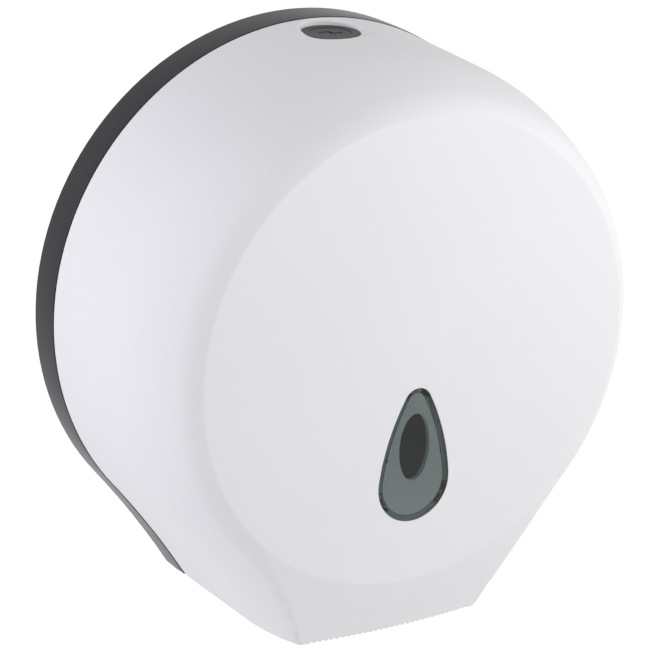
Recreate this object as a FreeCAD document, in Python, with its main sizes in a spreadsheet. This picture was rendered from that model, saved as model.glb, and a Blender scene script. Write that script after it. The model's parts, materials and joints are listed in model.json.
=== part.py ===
import FreeCAD, Part
import Sketcher
import math
import os

# Wall-mounted dispenser for a jumbo roll of toilet paper, in millimetres.
# Frame: X to the viewer's right, Y into the wall, Z up; the origin is on the wall behind the roll's axis.
# A depth counts from the wall towards the viewer, so it is a negative Y.

doc = FreeCAD.newDocument("paper_dispenser")

# Driving dimensions: name, value, what it is
DIMENSIONS = [
    ("outline_radius", 135, "round outline at the wall"),
    ("side_angle", 40.1, "degrees below level where the round outline runs into the hollow side"),
    ("side_bow_radius", 500, "hollow bend of the side below the round"),
    ("spout_drop", 8.6, "lowest point of the round outline down to the bottom edge"),
    ("overall_depth", 126.6, "wall to the front disc"),
    ("overrun", 2, "how far every cut runs past what it cuts"),
    ("base_depth", 18.6, "depth of the back plate's rim"),
    ("base_floor", 3, "thickness of the back plate's floor"),
    ("base_wall", 2.5, "thickness of the rim at its front edge"),
    ("rim_taper_depth", 7.5, "front stretch of the rim that draws in"),
    ("rim_taper_inset", 0.4, "how far the rim draws in"),
    ("rib_width", 2, "radial ribs on the floor"),
    ("rib_height", 5, "radial ribs on the floor"),
    ("rib_count", 8, "number of radial ribs"),
    ("guide_depth", 3.5, "lip that guides the cover over the rim"),
    ("guide_wall", 2, "thickness of the guide lip"),
    ("guide_gap", 0.3, "guide lip to the inside of the cover"),
    ("guide_drop", 20, "roll axis down to the lower ends of the guide lip"),
    ("wall_hole_radius", 2.6, "holes for the wall screws"),
    ("wall_hole_wide", 144, "spacing of the wall screws across"),
    ("wall_hole_high", 124, "spacing of the wall screws up and down"),
    ("wall_boss_radius", 8, "bosses round the wall screws"),
    ("wall_boss_height", 3, "bosses round the wall screws"),
    ("joint_gap", 0.3, "rim of the back plate to the cover"),
    ("cover_step", 0.3, "how far the cover stands inside the rim's front edge"),
    ("cover_wall", 2.5, "thickness of the cover"),
    ("side_draft", 2.35, "how far the cover's side draws in between its back edge and its bend"),
    ("shoulder_depth", 49.5, "front disc back to where the cover's side begins to bend"),
    ("shoulder_bow_radius", 106, "slow bend of the side"),
    ("shoulder_nose_radius", 20, "tight bend beside the disc"),
    ("shoulder_inset", 21.1, "back edge of the cover in to the flat front disc"),
    ("lip_setback", 11.6, "front disc back to the lower lip"),
    ("cone_margin", 0.3, "flat left round the disc before the lower front slopes back"),
    ("tooth_pitch", 3, "tear teeth along the lower lip"),
    ("tooth_height", 1.2, "tear teeth along the lower lip"),
    ("tooth_margin", 12.8, "inside of the cover's side to the row of tear teeth"),
    ("lip_room", 30, "depth behind the disc that the notches cut through"),
    ("window_big_radius", 19.4, "lower round of the window"),
    ("window_big_drop", 63.6, "roll axis down to the lower round"),
    ("window_small_radius", 7.4, "upper round of the window"),
    ("window_small_drop", 23.9, "roll axis down to the upper round"),
    ("window_bow_radius", 112, "bowed sides of the window"),
    ("window_depth", 2.4, "depth of the groove that takes the lens rim"),
    ("window_floor", 1.8, "thickness behind that groove"),
    ("window_frame", 2, "wall round the groove, behind the disc"),
    ("lens_clearance", 0.15, "lens to its recess"),
    ("lens_plate", 1.5, "thickness of the lens"),
    ("lens_rim_width", 2.4, "thicker rim of the lens"),
    ("hook_width", 4, "hooks that hold the lens"),
    ("hook_thickness", 1.4, "hooks that hold the lens"),
    ("hook_barb", 0.8, "how far a hook catches behind the floor"),
    ("hook_barb_height", 1, "height of the catching end"),
    ("hook_clearance", 0.2, "hook to its slot"),
    ("hook_low_angle", 27, "degrees below level, middle of the lower hooks"),
    ("hook_spread", 10, "degrees from that middle to each lower hook"),
    ("hook_high_angle", 40, "degrees above level of the upper hooks"),
    ("view_half_width", 8.3, "oval view hole behind the lens"),
    ("view_half_height", 16.7, "oval view hole behind the lens"),
    ("view_drop", 46.2, "roll axis down to the middle of the view hole"),
    ("hinge_lug_radius", 4.4, "round of the hinge lugs and ears"),
    ("hinge_lug_length", 14, "lug from the inside of the cover's side"),
    ("hinge_gap", 0.3, "lug to ear"),
    ("ear_width", 7, "ears of the back plate"),
    ("pin_radius", 1.6, "hinge pins"),
    ("pin_engagement", 10, "length of a pin inside its lug"),
    ("pin_clearance", 0.05, "pin to lug"),
    ("lock_depth", 35.8, "wall to the lock's axis"),
    ("lock_seat_drop", 4.5, "top of the cover's back edge down to the seat of the bezel"),
    ("lock_boss_radius", 16.8, "boss under the seat"),
    ("lock_boss_depth", 4, "seat down to the underside of the boss"),
    ("bezel_radius", 14.05, "round bezel of the lock"),
    ("bezel_thickness", 1.5, "round bezel of the lock"),
    ("bezel_clearance", 0.4, "bezel to the edge of its seat"),
    ("barrel_radius", 12, "threaded barrel of the lock"),
    ("barrel_length", 8.8, "seat down to the end of the barrel"),
    ("barrel_clearance", 0.15, "barrel to its hole"),
    ("nut_radius", 15, "ring nut on the barrel"),
    ("nut_thickness", 3.6, "ring nut on the barrel"),
    ("plug_radius", 10, "head of the plug"),
    ("plug_head_depth", 4, "seat of the plug below the bezel's seat"),
    ("plug_recess", 0.3, "top of the bezel down to the plug"),
    ("plug_shaft_radius", 8, "shaft of the plug"),
    ("plug_clearance", 0.06, "plug to housing"),
    ("keyway_bar", 5.5, "each end bar of the keyway"),
    ("keyway_step", 3.6, "offset between the two bars"),
    ("keyway_width", 1.6, "width of the keyway"),
    ("keyway_depth", 3, "depth of the keyway"),
    ("tang_side", 7, "square end of the plug that turns the cam"),
    ("cam_gap", 0.3, "end of the barrel to the cam"),
    ("cam_thickness", 2.5, "cam"),
    ("cam_reach", 24, "lock axis to the tip of the cam"),
    ("cam_width", 12, "cam"),
    ("cam_washer_radius", 6.5, "washer under the cam"),
    ("cam_washer_thickness", 1, "washer under the cam"),
    ("cam_screw_radius", 2, "screw that holds the cam"),
    ("cam_screw_length", 7, "depth of that screw in the plug"),
    ("cam_head_radius", 4.2, "head of that screw"),
    ("cam_head_height", 2.4, "head of that screw"),
    ("latch_play", 0.4, "locked cam to the hook of the keeper"),
    ("keeper_thickness", 2, "bent steel keeper"),
    ("keeper_offset", 12.5, "lock axis across to the keeper"),
    ("keeper_width", 12, "bent steel keeper"),
    ("keeper_overlap", 2, "height of the cam that the hook covers"),
    ("keeper_arm_gap", 7.2, "cam down to the arm of the keeper"),
    ("keeper_foot", 13, "arm down to the end of the foot"),
    ("keeper_boss_margin", 2, "boss wider than the foot on each side"),
    ("keeper_screw_spacing", 6, "two screws side by side"),
    ("keeper_screw_radius", 1.4, "screws of the keeper"),
    ("keeper_screw_length", 5, "depth of those screws in the boss"),
    ("keeper_head_radius", 2.5, "heads of those screws"),
    ("keeper_head_height", 1.6, "heads of those screws"),
    ("pedestal_radius", 33, "seat of the spindle post"),
    ("pedestal_height", 5.5, "seat of the spindle post and of the keeper"),
    ("post_flange_radius", 30, "foot of the spindle post"),
    ("post_flange", 3.5, "foot of the spindle post"),
    ("post_shoulder_radius", 16, "shoulder behind the hub"),
    ("post_shoulder", 3, "shoulder behind the hub"),
    ("post_radius", 12, "spindle post"),
    ("post_screw_circle", 23, "post axis to the screws"),
    ("post_screw_count", 4, "number of screws in the foot"),
    ("post_screw_radius", 1.9, "screws in the foot"),
    ("post_screw_length", 6, "depth of those screws in the pedestal"),
    ("post_head_radius", 3.6, "heads of those screws"),
    ("post_head_height", 2.2, "heads of those screws"),
    ("screw_slot_width", 0.9, "slots in the screw heads"),
    ("screw_slot_depth", 0.9, "slots in the screw heads"),
    ("thrust_washer", 1, "thickness of the washer behind the hub"),
    ("hub_end_play", 0.1, "play of the hub along the post"),
    ("hub_clearance", 0.06, "hub to post"),
    ("hub_flange_radius", 34, "disc that the roll stands against"),
    ("hub_flange", 3, "disc that the roll stands against"),
    ("hub_radius", 22, "hub inside the core of the roll"),
    ("hub_wall", 2.5, "outer wall of the hub"),
    ("hub_tube_wall", 2.5, "bearing tube of the hub"),
    ("hub_web", 3, "web between tube and outer wall"),
    ("hub_cup", 6, "hollow in the front end of the hub"),
    ("hub_front_room", 15.1, "front end of the hub to the cover"),
    ("groove_width", 3, "grooves along the hub"),
    ("groove_depth", 1, "grooves along the hub"),
    ("groove_count", 6, "number of grooves along the hub"),
    ("hub_washer_radius", 15.5, "washer on the end of the post"),
    ("hub_washer_thickness", 1.5, "washer on the end of the post"),
    ("hub_screw_radius", 2.5, "screw in the end of the post"),
    ("hub_screw_length", 14, "depth of that screw in the post"),
    ("hub_head_radius", 5, "head of that screw"),
    ("hub_head_height", 3, "head of that screw"),
    ("cap_thickness", 2.5, "cap on the front end of the hub"),
    ("cap_skirt", 2.4, "skirt of the cap inside the hub"),
    ("cap_skirt_wall", 1.8, "skirt of the cap inside the hub"),
    ("cap_edge", 0.6, "how far the cap stands inside the hub's outside"),
]

# Places worked out from the driving dimensions
PLACES = [
    ("bottom_drop", "{outline_radius} + {spout_drop}"),
    ("rim_front_radius", "{outline_radius} - {rim_taper_inset}"),
    ("tray_radius", "{rim_front_radius} - {base_wall}"),
    ("tray_drop", "{bottom_drop} - {base_wall}"),
    ("cover_radius", "{rim_front_radius} - {cover_step}"),
    ("cover_inside", "{cover_radius} - {cover_wall}"),
    ("cover_back", "{base_depth} + {joint_gap}"),
    ("disc_radius", "{cover_radius} - {shoulder_inset}"),
    ("shoulder_start", "{overall_depth} - {shoulder_depth}"),
    ("side_axis", "{outline_radius} + {side_bow_radius}"),
    ("axis_across", "{side_axis} * cos({side_angle})"),
    ("axis_drop", "{side_axis} * sin({side_angle})"),
    ("bottom_turn", "atan(({axis_drop} - {bottom_drop} - {overrun}) / {axis_across}) / 1 deg"),
    ("spout_turn", "{side_angle} - {bottom_turn}"),
    ("side_slope", "{side_draft} / ({shoulder_start} - {cover_back})"),
    ("side_bow_inside", "{side_axis} - {cover_inside}"),
    ("slope_start", "{disc_radius} + {cone_margin}"),
    ("slope_end", "{outline_radius} + {bottom_drop}"),
    ("slope_fall", "{lip_setback} * ({slope_end} - {slope_start}) / ({bottom_drop} - {slope_start})"),
    ("side_at_lip", "{axis_across} - sqrt({side_bow_inside} ^ 2 - ({axis_drop} - {bottom_drop}) ^ 2)"),
    ("tooth_count", "floor(2 * ({side_at_lip} - {tooth_margin}) / {tooth_pitch})"),
    ("hinge_depth", "{base_depth} + {joint_gap} + {hinge_lug_radius}"),
    ("hinge_drop", "{bottom_drop} - {hinge_lug_radius}"),
    ("side_at_hinge", "{axis_across} - sqrt({side_bow_inside} ^ 2 - ({axis_drop} - {hinge_drop}) ^ 2)"),
    ("lug_inner", "{side_at_hinge} - {hinge_lug_length}"),
    ("ear_outer", "{lug_inner} - {hinge_gap}"),
    ("ear_inner", "{ear_outer} - {ear_width}"),
    ("window_back", "{overall_depth} - {window_depth} - {window_floor}"),
    ("lens_back", "{overall_depth} - {window_depth} + {lens_clearance}"),
    ("island_front", "{overall_depth} - {lens_plate} - {lens_clearance}"),
    ("island_inset", "{lens_rim_width} + 2 * {lens_clearance}"),
    ("hook_low_ring", "{window_big_radius} - {lens_rim_width} / 2"),
    ("hook_high_ring", "{window_small_radius} - {lens_rim_width} / 2"),
    ("lock_seat", "{cover_radius} - {lock_seat_drop}"),
    ("lock_boss_under", "{lock_seat} - {lock_boss_depth}"),
    ("plug_seat", "{lock_seat} - {plug_head_depth}"),
    ("plug_top", "{lock_seat} + {bezel_thickness} - {plug_recess}"),
    ("barrel_under", "{lock_seat} - {barrel_length}"),
    ("cam_top", "{barrel_under} - {cam_gap}"),
    ("cam_under", "{cam_top} - {cam_thickness}"),
    ("cam_washer_under", "{cam_under} - {cam_washer_thickness}"),
    ("keeper_far", "{keeper_offset} + {keeper_width}"),
    ("keeper_middle", "{keeper_offset} + {keeper_width} / 2"),
    ("keeper_hook_back", "{lock_depth} + {cam_width} / 2 + {latch_play}"),
    ("keeper_hook_front", "{keeper_hook_back} + {keeper_thickness}"),
    ("keeper_hook_top", "{cam_under} + {keeper_overlap}"),
    ("keeper_arm_top", "{cam_under} - {keeper_arm_gap}"),
    ("keeper_arm_under", "{keeper_arm_top} - {keeper_thickness}"),
    ("keeper_foot_under", "{keeper_arm_under} - {keeper_foot}"),
    ("keeper_screw_level", "{keeper_arm_under} - {keeper_foot} / 2"),
    ("pedestal_top", "{base_floor} + {pedestal_height}"),
    ("keeper_foot_front", "{pedestal_top} + {keeper_thickness}"),
    ("post_flange_front", "{pedestal_top} + {post_flange}"),
    ("post_shoulder_front", "{post_flange_front} + {post_shoulder}"),
    ("thrust_washer_front", "{post_shoulder_front} + {thrust_washer}"),
    ("hub_back", "{thrust_washer_front} + {hub_end_play}"),
    ("hub_flange_front", "{hub_back} + {hub_flange}"),
    ("hub_bore", "{post_radius} + {hub_clearance}"),
    ("hub_inside", "{hub_radius} - {hub_wall}"),
    ("hub_front", "{overall_depth} - {cover_wall} - {hub_front_room}"),
    ("hub_web_front", "{hub_front} - {hub_cup}"),
    ("hub_web_back", "{hub_web_front} - {hub_web}"),
    ("post_front", "{hub_web_front} + {hub_end_play}"),
    ("hub_washer_front", "{post_front} + {hub_washer_thickness}"),
    ("cap_radius", "{hub_radius} - {cap_edge}"),
]

REFERENCES = {}


def fill_sheet(name, rows):
    sheet = doc.addObject("Spreadsheet::Sheet", name)
    for row, (alias, value) in enumerate(rows, start=1):
        sheet.set(f"A{row}", alias)
        sheet.set(f"B{row}", value)
        sheet.setAlias(f"B{row}", alias)
        REFERENCES[alias] = f"{name}.{alias}"
    doc.recompute()
    return sheet


dims = fill_sheet("Dims", [(alias, str(value)) for alias, value, meaning in DIMENSIONS])
for row, (alias, value, meaning) in enumerate(DIMENSIONS, start=1):
    dims.set(f"C{row}", meaning)
REFERENCES.update({alias: f"Places.{alias}" for alias, formula in PLACES})
places = fill_sheet("Places", [(alias, "=" + formula.format_map(REFERENCES)) for alias, formula in PLACES])


# Formulas

def bind(item, path, formula):
    item.setExpression(path, formula.format_map(REFERENCES))


def number(formula):
    return float(places.evalExpression(formula.format_map(REFERENCES)))


# Part primitives and booleans

ALONG = {
    "front": FreeCAD.Rotation(FreeCAD.Vector(1, 0, 0), 90),
    "right": FreeCAD.Rotation(FreeCAD.Vector(0, 1, 0), 90),
    "up": FreeCAD.Rotation(),
}


def put(item, x, depth, z):
    bind(item, "Placement.Base.x", x)
    bind(item, "Placement.Base.y", f"-({depth})")
    bind(item, "Placement.Base.z", z)
    return item


def rod(name, radius, length, x="0", depth="0", z="0", along="front"):
    item = doc.addObject("Part::Cylinder", name)
    item.Placement.Rotation = ALONG[along]
    bind(item, "Radius", radius)
    bind(item, "Height", length)
    return put(item, x, depth, z)


def block(name, x, depth, z):
    item = doc.addObject("Part::Box", name)
    bind(item, "Length", f"({x[1]}) - ({x[0]})")
    bind(item, "Width", f"({depth[1]}) - ({depth[0]})")
    bind(item, "Height", f"({z[1]}) - ({z[0]})")
    return put(item, x[0], depth[1], z[0])


def fuse(name, items, refine=True):
    item = doc.addObject("Part::MultiFuse", name)
    item.Shapes = items
    item.Refine = refine
    return item


def common(name, first, second):
    item = doc.addObject("Part::MultiCommon", name)
    item.Shapes = [first, second]
    return item


def cut(name, base, tools):
    item = doc.addObject("Part::Cut", name)
    item.Base = base
    item.Tool = tools[0] if len(tools) == 1 else fuse(name + "_tools", tools)
    return item


def group(name, items):
    item = doc.addObject("Part::Compound", name)
    item.Links = items
    return item


def mirrored(name, source):
    item = doc.addObject("Part::Mirroring", name)
    item.Source = source
    item.Normal = FreeCAD.Vector(1, 0, 0)
    return item


def spun(name, item, angle, drop="0"):
    turn = doc.addObject("Part::Compound", name)
    turn.Links = [item]
    turn.Placement.Rotation = ALONG["right"]
    bind(turn, "Placement.Rotation.Angle", f"360 - ({angle})")
    return put(turn, "0", "0", f"-({drop})")


def washer(name, outside, inside, thickness, depth):
    disc = rod(name + "_disc", outside, thickness, depth=depth)
    hole = rod(name + "_hole", inside, f"{thickness} + 2 * {{overrun}}", depth=f"{depth} - {{overrun}}")
    return cut(name, disc, [hole])


def front_screw(name, kind, seat, x="0", z="0"):
    radius, buried = f"{{{kind}_screw_radius}}", f"{{{kind}_screw_length}}"
    head_radius, head_height = f"{{{kind}_head_radius}}", f"{{{kind}_head_height}}"
    shank = rod(name + "_shank", radius, buried, x=x, depth=f"{seat} - {buried}", z=z)
    head = rod(name + "_head", head_radius, head_height, x=x, depth=seat, z=z)
    front = f"{seat} + {head_height}"
    slot = block(
        name + "_slot",
        (f"{x} - {head_radius} - {{overrun}}", f"{x} + {head_radius} + {{overrun}}"),
        (f"{front} - {{screw_slot_depth}}", f"{front} + {{overrun}}"),
        (f"{z} - {{screw_slot_width}} / 2", f"{z} + {{screw_slot_width}} / 2"),
    )
    return cut(name, fuse(name + "_blank", [shank, head]), [slot])


# Sketches

def new_body(name):
    return doc.addObject("PartDesign::Body", name)


def new_sketch(body, name, role, offset="0"):
    sketch = body.newObject("Sketcher::SketchObject", name)
    plane = next(feature for feature in body.Origin.OriginFeatures if feature.Role == role)
    sketch.AttachmentSupport = [(plane, "")]
    sketch.MapMode = "FlatFace"
    bind(sketch, "AttachmentOffset.Base.z", offset)
    return sketch


def dimension(sketch, name, formula, kind, *elements):
    index = sketch.addConstraint(Sketcher.Constraint(kind, *elements, number(formula)))
    sketch.renameConstraint(index, name)
    bind(sketch, f"Constraints.{name}", formula)


def place_point(sketch, name, edge, end, across, down):
    if across == "0":
        sketch.addConstraint(Sketcher.Constraint("PointOnObject", edge, end, -2))
    else:
        dimension(sketch, name + "_across", across, "DistanceX", -1, 1, edge, end)
    dimension(sketch, name + "_down", down, "DistanceY", edge, end, -1, 1)


def polygon(sketch, corners):
    points = [FreeCAD.Vector(number(across), -number(down), 0) for across, down in corners]
    edges = []
    for start, end in zip(points, points[1:] + points[:1]):
        edges.append(sketch.addGeometry(Part.LineSegment(start, end)))
    for edge, following in zip(edges, edges[1:] + edges[:1]):
        sketch.addConstraint(Sketcher.Constraint("Coincident", edge, 2, following, 1))
    for index, (edge, (across, down)) in enumerate(zip(edges, corners)):
        place_point(sketch, f"corner{index}", edge, 1, across, down)


def arc(sketch, centre, radius, start, end):
    circle = Part.Circle(centre, FreeCAD.Vector(0, 0, 1), radius)
    return sketch.addGeometry(Part.ArcOfCircle(circle, start, end))


def outline(sketch, radius, drop):
    size, low, angle = number(radius), number(drop), math.radians(number("{side_angle}"))
    axis_across, axis_drop = number("{axis_across}"), number("{axis_drop}")
    hollow = number("{side_axis}") - size
    low_turn = math.asin((axis_drop - low) / hollow)
    corner = axis_across - hollow * math.cos(low_turn)
    right_low, left_low = FreeCAD.Vector(corner, -low, 0), FreeCAD.Vector(-corner, -low, 0)
    round_edge = arc(sketch, FreeCAD.Vector(), size, -angle, math.pi + angle)
    right_centre = FreeCAD.Vector(axis_across, -axis_drop, 0)
    left_centre = FreeCAD.Vector(-axis_across, -axis_drop, 0)
    right_edge = arc(sketch, right_centre, hollow, math.pi - angle, math.pi - low_turn)
    low_edge = sketch.addGeometry(Part.LineSegment(right_low, left_low))
    left_edge = arc(sketch, left_centre, hollow, low_turn, angle)
    sketch.addConstraint(Sketcher.Constraint("Coincident", round_edge, 3, -1, 1))
    sketch.addConstraint(Sketcher.Constraint("Tangent", round_edge, 1, right_edge, 1))
    sketch.addConstraint(Sketcher.Constraint("Coincident", right_edge, 2, low_edge, 1))
    sketch.addConstraint(Sketcher.Constraint("Coincident", low_edge, 2, left_edge, 1))
    sketch.addConstraint(Sketcher.Constraint("Tangent", left_edge, 2, round_edge, 2))
    sketch.addConstraint(Sketcher.Constraint("Symmetric", low_edge, 1, low_edge, 2, -2))
    sketch.addConstraint(Sketcher.Constraint("Equal", right_edge, left_edge))
    dimension(sketch, "radius", radius, "Radius", round_edge)
    dimension(sketch, "side_radius", f"{{side_axis}} - {radius}", "Radius", right_edge)
    dimension(sketch, "side_centre_drop", "{axis_drop}", "DistanceY", right_edge, 3, -1, 1)
    dimension(sketch, "drop", drop, "DistanceY", low_edge, 1, -1, 1)


def teardrop(sketch, grow):
    big_size = f"{{window_big_radius}} + {grow}"
    small_size = f"{{window_small_radius}} + {grow}"
    bow_size = f"{{window_bow_radius}} + {grow}"
    big, small, bow = number(big_size), number(small_size), number(bow_size)
    big_centre = FreeCAD.Vector(0, -number("{window_big_drop}"), 0)
    small_centre = FreeCAD.Vector(0, -number("{window_small_drop}"), 0)
    rise = small_centre.y - big_centre.y
    along = ((bow - big) ** 2 - (bow - small) ** 2 + rise ** 2) / (2 * rise)
    across = math.sqrt((bow - big) ** 2 - along ** 2)
    low_turn = math.atan2(-along, across)
    high_turn = math.atan2(rise - along, across)
    right_centre = FreeCAD.Vector(-across, big_centre.y + along, 0)
    left_centre = FreeCAD.Vector(across, big_centre.y + along, 0)
    low_arc = arc(sketch, big_centre, big, math.pi - low_turn, 2 * math.pi + low_turn)
    right_arc = arc(sketch, right_centre, bow, low_turn, high_turn)
    high_arc = arc(sketch, small_centre, small, high_turn, math.pi - high_turn)
    left_arc = arc(sketch, left_centre, bow, math.pi - high_turn, math.pi - low_turn)
    ring = [low_arc, right_arc, high_arc, left_arc]
    for edge, following in zip(ring, ring[1:] + ring[:1]):
        sketch.addConstraint(Sketcher.Constraint("Tangent", edge, 2, following, 1))
    place_point(sketch, "low_centre", low_arc, 3, "0", "{window_big_drop}")
    place_point(sketch, "high_centre", high_arc, 3, "0", "{window_small_drop}")
    sketch.addConstraint(Sketcher.Constraint("Equal", right_arc, left_arc))
    dimension(sketch, "low_radius", big_size, "Radius", low_arc)
    dimension(sketch, "high_radius", small_size, "Radius", high_arc)
    dimension(sketch, "bow_radius", bow_size, "Radius", right_arc)


def pad(body, name, sketch, length, backwards=False):
    feature = body.newObject("PartDesign::Pad", name)
    feature.Profile = sketch
    feature.Reversed = backwards
    bind(feature, "Length", length)
    return feature


def revolution(body, name, sketch, kind="PartDesign::Revolution"):
    feature = body.newObject(kind, name)
    feature.Profile = sketch
    feature.ReferenceAxis = (sketch, ["V_Axis"])
    feature.Angle = 360
    return feature


def hollow_sweep(body, name, sketch, backwards):
    """Carries a section down the hollow side, round that side's axis."""
    across = number("{side_axis}")
    axis_back = FreeCAD.Vector(across, -number("{cover_back}"), 0)
    axis_front = FreeCAD.Vector(across, -number("{overall_depth}"), 0)
    axis = sketch.addGeometry(Part.LineSegment(axis_back, axis_front), True)
    place_point(sketch, "sweep_axis_back", axis, 1, "{side_axis}", "{cover_back}")
    place_point(sketch, "sweep_axis_front", axis, 2, "{side_axis}", "{overall_depth}")
    feature = body.newObject("PartDesign::Revolution", name)
    feature.Profile = sketch
    feature.ReferenceAxis = (sketch, ["Axis0"])
    feature.Reversed = backwards
    bind(feature, "Angle", "{spout_turn}")
    return feature


def turned(name, corners):
    body = new_body(name)
    sketch = new_sketch(body, name + "_section", "XY_Plane")
    polygon(sketch, corners)
    revolution(body, name + "_turned", sketch)
    return body


def teardrop_pad(name, grow, back, front):
    body = new_body(name)
    sketch = new_sketch(body, name + "_outline", "XZ_Plane", back)
    teardrop(sketch, grow)
    pad(body, name + "_pad", sketch, f"{front} - ({back})")
    return body


# Cover forms: the outside, and the hollow that the wall leaves

def shoulder_section(sketch, back, inset):
    front_radius = f"({{cover_radius}} - {{side_draft}} - {inset})"
    back_radius = f"({front_radius} + {{side_slope}} * ({{shoulder_start}} - ({back})))"
    front = f"({{overall_depth}} - {inset})"
    crease = f"({{disc_radius}} - {inset})"
    bow = f"({{shoulder_bow_radius}} - {inset})"
    nose = f"({{shoulder_nose_radius}} - {inset})"
    bow_size, nose_size = number(bow), number(nose)
    lean = math.atan(number("{side_slope}"))
    side_back = FreeCAD.Vector(number(back_radius), -number(back), 0)
    side_front = FreeCAD.Vector(number(front_radius), -number("{shoulder_start}"), 0)
    bow_centre = side_front + FreeCAD.Vector(-math.cos(lean), math.sin(lean), 0) * bow_size
    crease_point = FreeCAD.Vector(number(crease), -number(front), 0)
    reach = crease_point - bow_centre
    between = bow_size - nose_size
    along = (between ** 2 - nose_size ** 2 + reach.Length ** 2) / (2 * reach.Length)
    aside = math.sqrt(between ** 2 - along ** 2)
    forward = reach / reach.Length
    outward = FreeCAD.Vector(-forward.y, forward.x, 0)
    nose_centre = bow_centre + forward * along + outward * aside
    meeting = nose_centre - bow_centre
    meeting_angle = math.atan2(meeting.y, meeting.x)
    ending = crease_point - nose_centre
    axis_front = FreeCAD.Vector(0, crease_point.y, 0)
    axis_back = FreeCAD.Vector(0, side_back.y, 0)
    back_edge = sketch.addGeometry(Part.LineSegment(axis_back, side_back))
    side_edge = sketch.addGeometry(Part.LineSegment(side_back, side_front))
    bow_edge = arc(sketch, bow_centre, bow_size, meeting_angle, -lean)
    nose_edge = arc(sketch, nose_centre, nose_size, math.atan2(ending.y, ending.x), meeting_angle)
    front_edge = sketch.addGeometry(Part.LineSegment(crease_point, axis_front))
    axis_edge = sketch.addGeometry(Part.LineSegment(axis_front, axis_back))
    sketch.addConstraint(Sketcher.Constraint("Coincident", back_edge, 2, side_edge, 1))
    sketch.addConstraint(Sketcher.Constraint("Tangent", side_edge, 2, bow_edge, 2))
    sketch.addConstraint(Sketcher.Constraint("Tangent", bow_edge, 1, nose_edge, 2))
    sketch.addConstraint(Sketcher.Constraint("Coincident", nose_edge, 1, front_edge, 1))
    sketch.addConstraint(Sketcher.Constraint("Coincident", front_edge, 2, axis_edge, 1))
    sketch.addConstraint(Sketcher.Constraint("Coincident", axis_edge, 2, back_edge, 1))
    place_point(sketch, "axis_back", back_edge, 1, "0", back)
    place_point(sketch, "side_back", side_edge, 1, back_radius, back)
    place_point(sketch, "side_front", side_edge, 2, front_radius, "{shoulder_start}")
    place_point(sketch, "crease", front_edge, 1, crease, front)
    place_point(sketch, "axis_front", front_edge, 2, "0", front)
    dimension(sketch, "bow_radius", bow, "Radius", bow_edge)
    dimension(sketch, "nose_radius", nose, "Radius", nose_edge)


def cover_form(name, back, inset):
    body = new_body(name)
    drum_section = new_sketch(body, name + "_drum_section", "XY_Plane")
    shoulder_section(drum_section, back, inset)
    revolution(body, name + "_drum", drum_section)
    for side, turn, backwards in (("right", "{side_angle}", False), ("left", "180 - {side_angle}", True)):
        section = new_sketch(body, f"{name}_{side}_section", "XY_Plane")
        section.AttachmentOffset = FreeCAD.Placement(FreeCAD.Vector(), ALONG["right"])
        bind(section, "AttachmentOffset.Rotation.Angle", turn)
        shoulder_section(section, back, inset)
        hollow_sweep(body, f"{name}_{side}", section, backwards)
    slope = new_sketch(body, name + "_slope_section", "XY_Plane")
    front = f"{{overall_depth}} - {inset}"
    polygon(slope, [
        ("{slope_start}", front),
        ("{slope_end}", f"{front} - {{slope_fall}}"),
        ("{slope_end}", "{overall_depth} + {overrun}"),
        ("{slope_start}", "{overall_depth} + {overrun}"),
    ])
    revolution(body, name + "_slope", slope, "PartDesign::Groove")
    return body


# Sub-parts

def make_front_cover():
    outside = cover_form("cover_outside", "{cover_back}", "0")
    hollow = cover_form("cover_hollow", "{cover_back} - {overrun}", "{cover_wall}")
    shell = cut("cover_shell", outside, [hollow])
    lug = rod("cover_lug", "{hinge_lug_radius}", "2 * {hinge_lug_length}",
              x="{lug_inner}", depth="{hinge_depth}", z="-{hinge_drop}", along="right")
    right_lug = common("cover_right_lug", lug, outside)
    lock_boss = rod("cover_lock_boss", "{lock_boss_radius}", "{cover_radius} - {lock_boss_under}",
                    depth="{lock_depth}", z="{lock_boss_under}", along="up")
    boss = common("cover_boss", lock_boss, outside)
    frame = teardrop_pad("cover_window_frame", "{window_frame}",
                         "{window_back}", "{overall_depth} - {cover_wall} / 2")
    left_lug = mirrored("cover_left_lug", right_lug)
    # The faces of the hollow sides stay as they were swept, because merging them breaks the solid
    solid = fuse("cover_solid", [shell, right_lug, left_lug, boss, frame], refine=False)
    return cut("front_cover", solid, cover_cuts())


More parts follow.
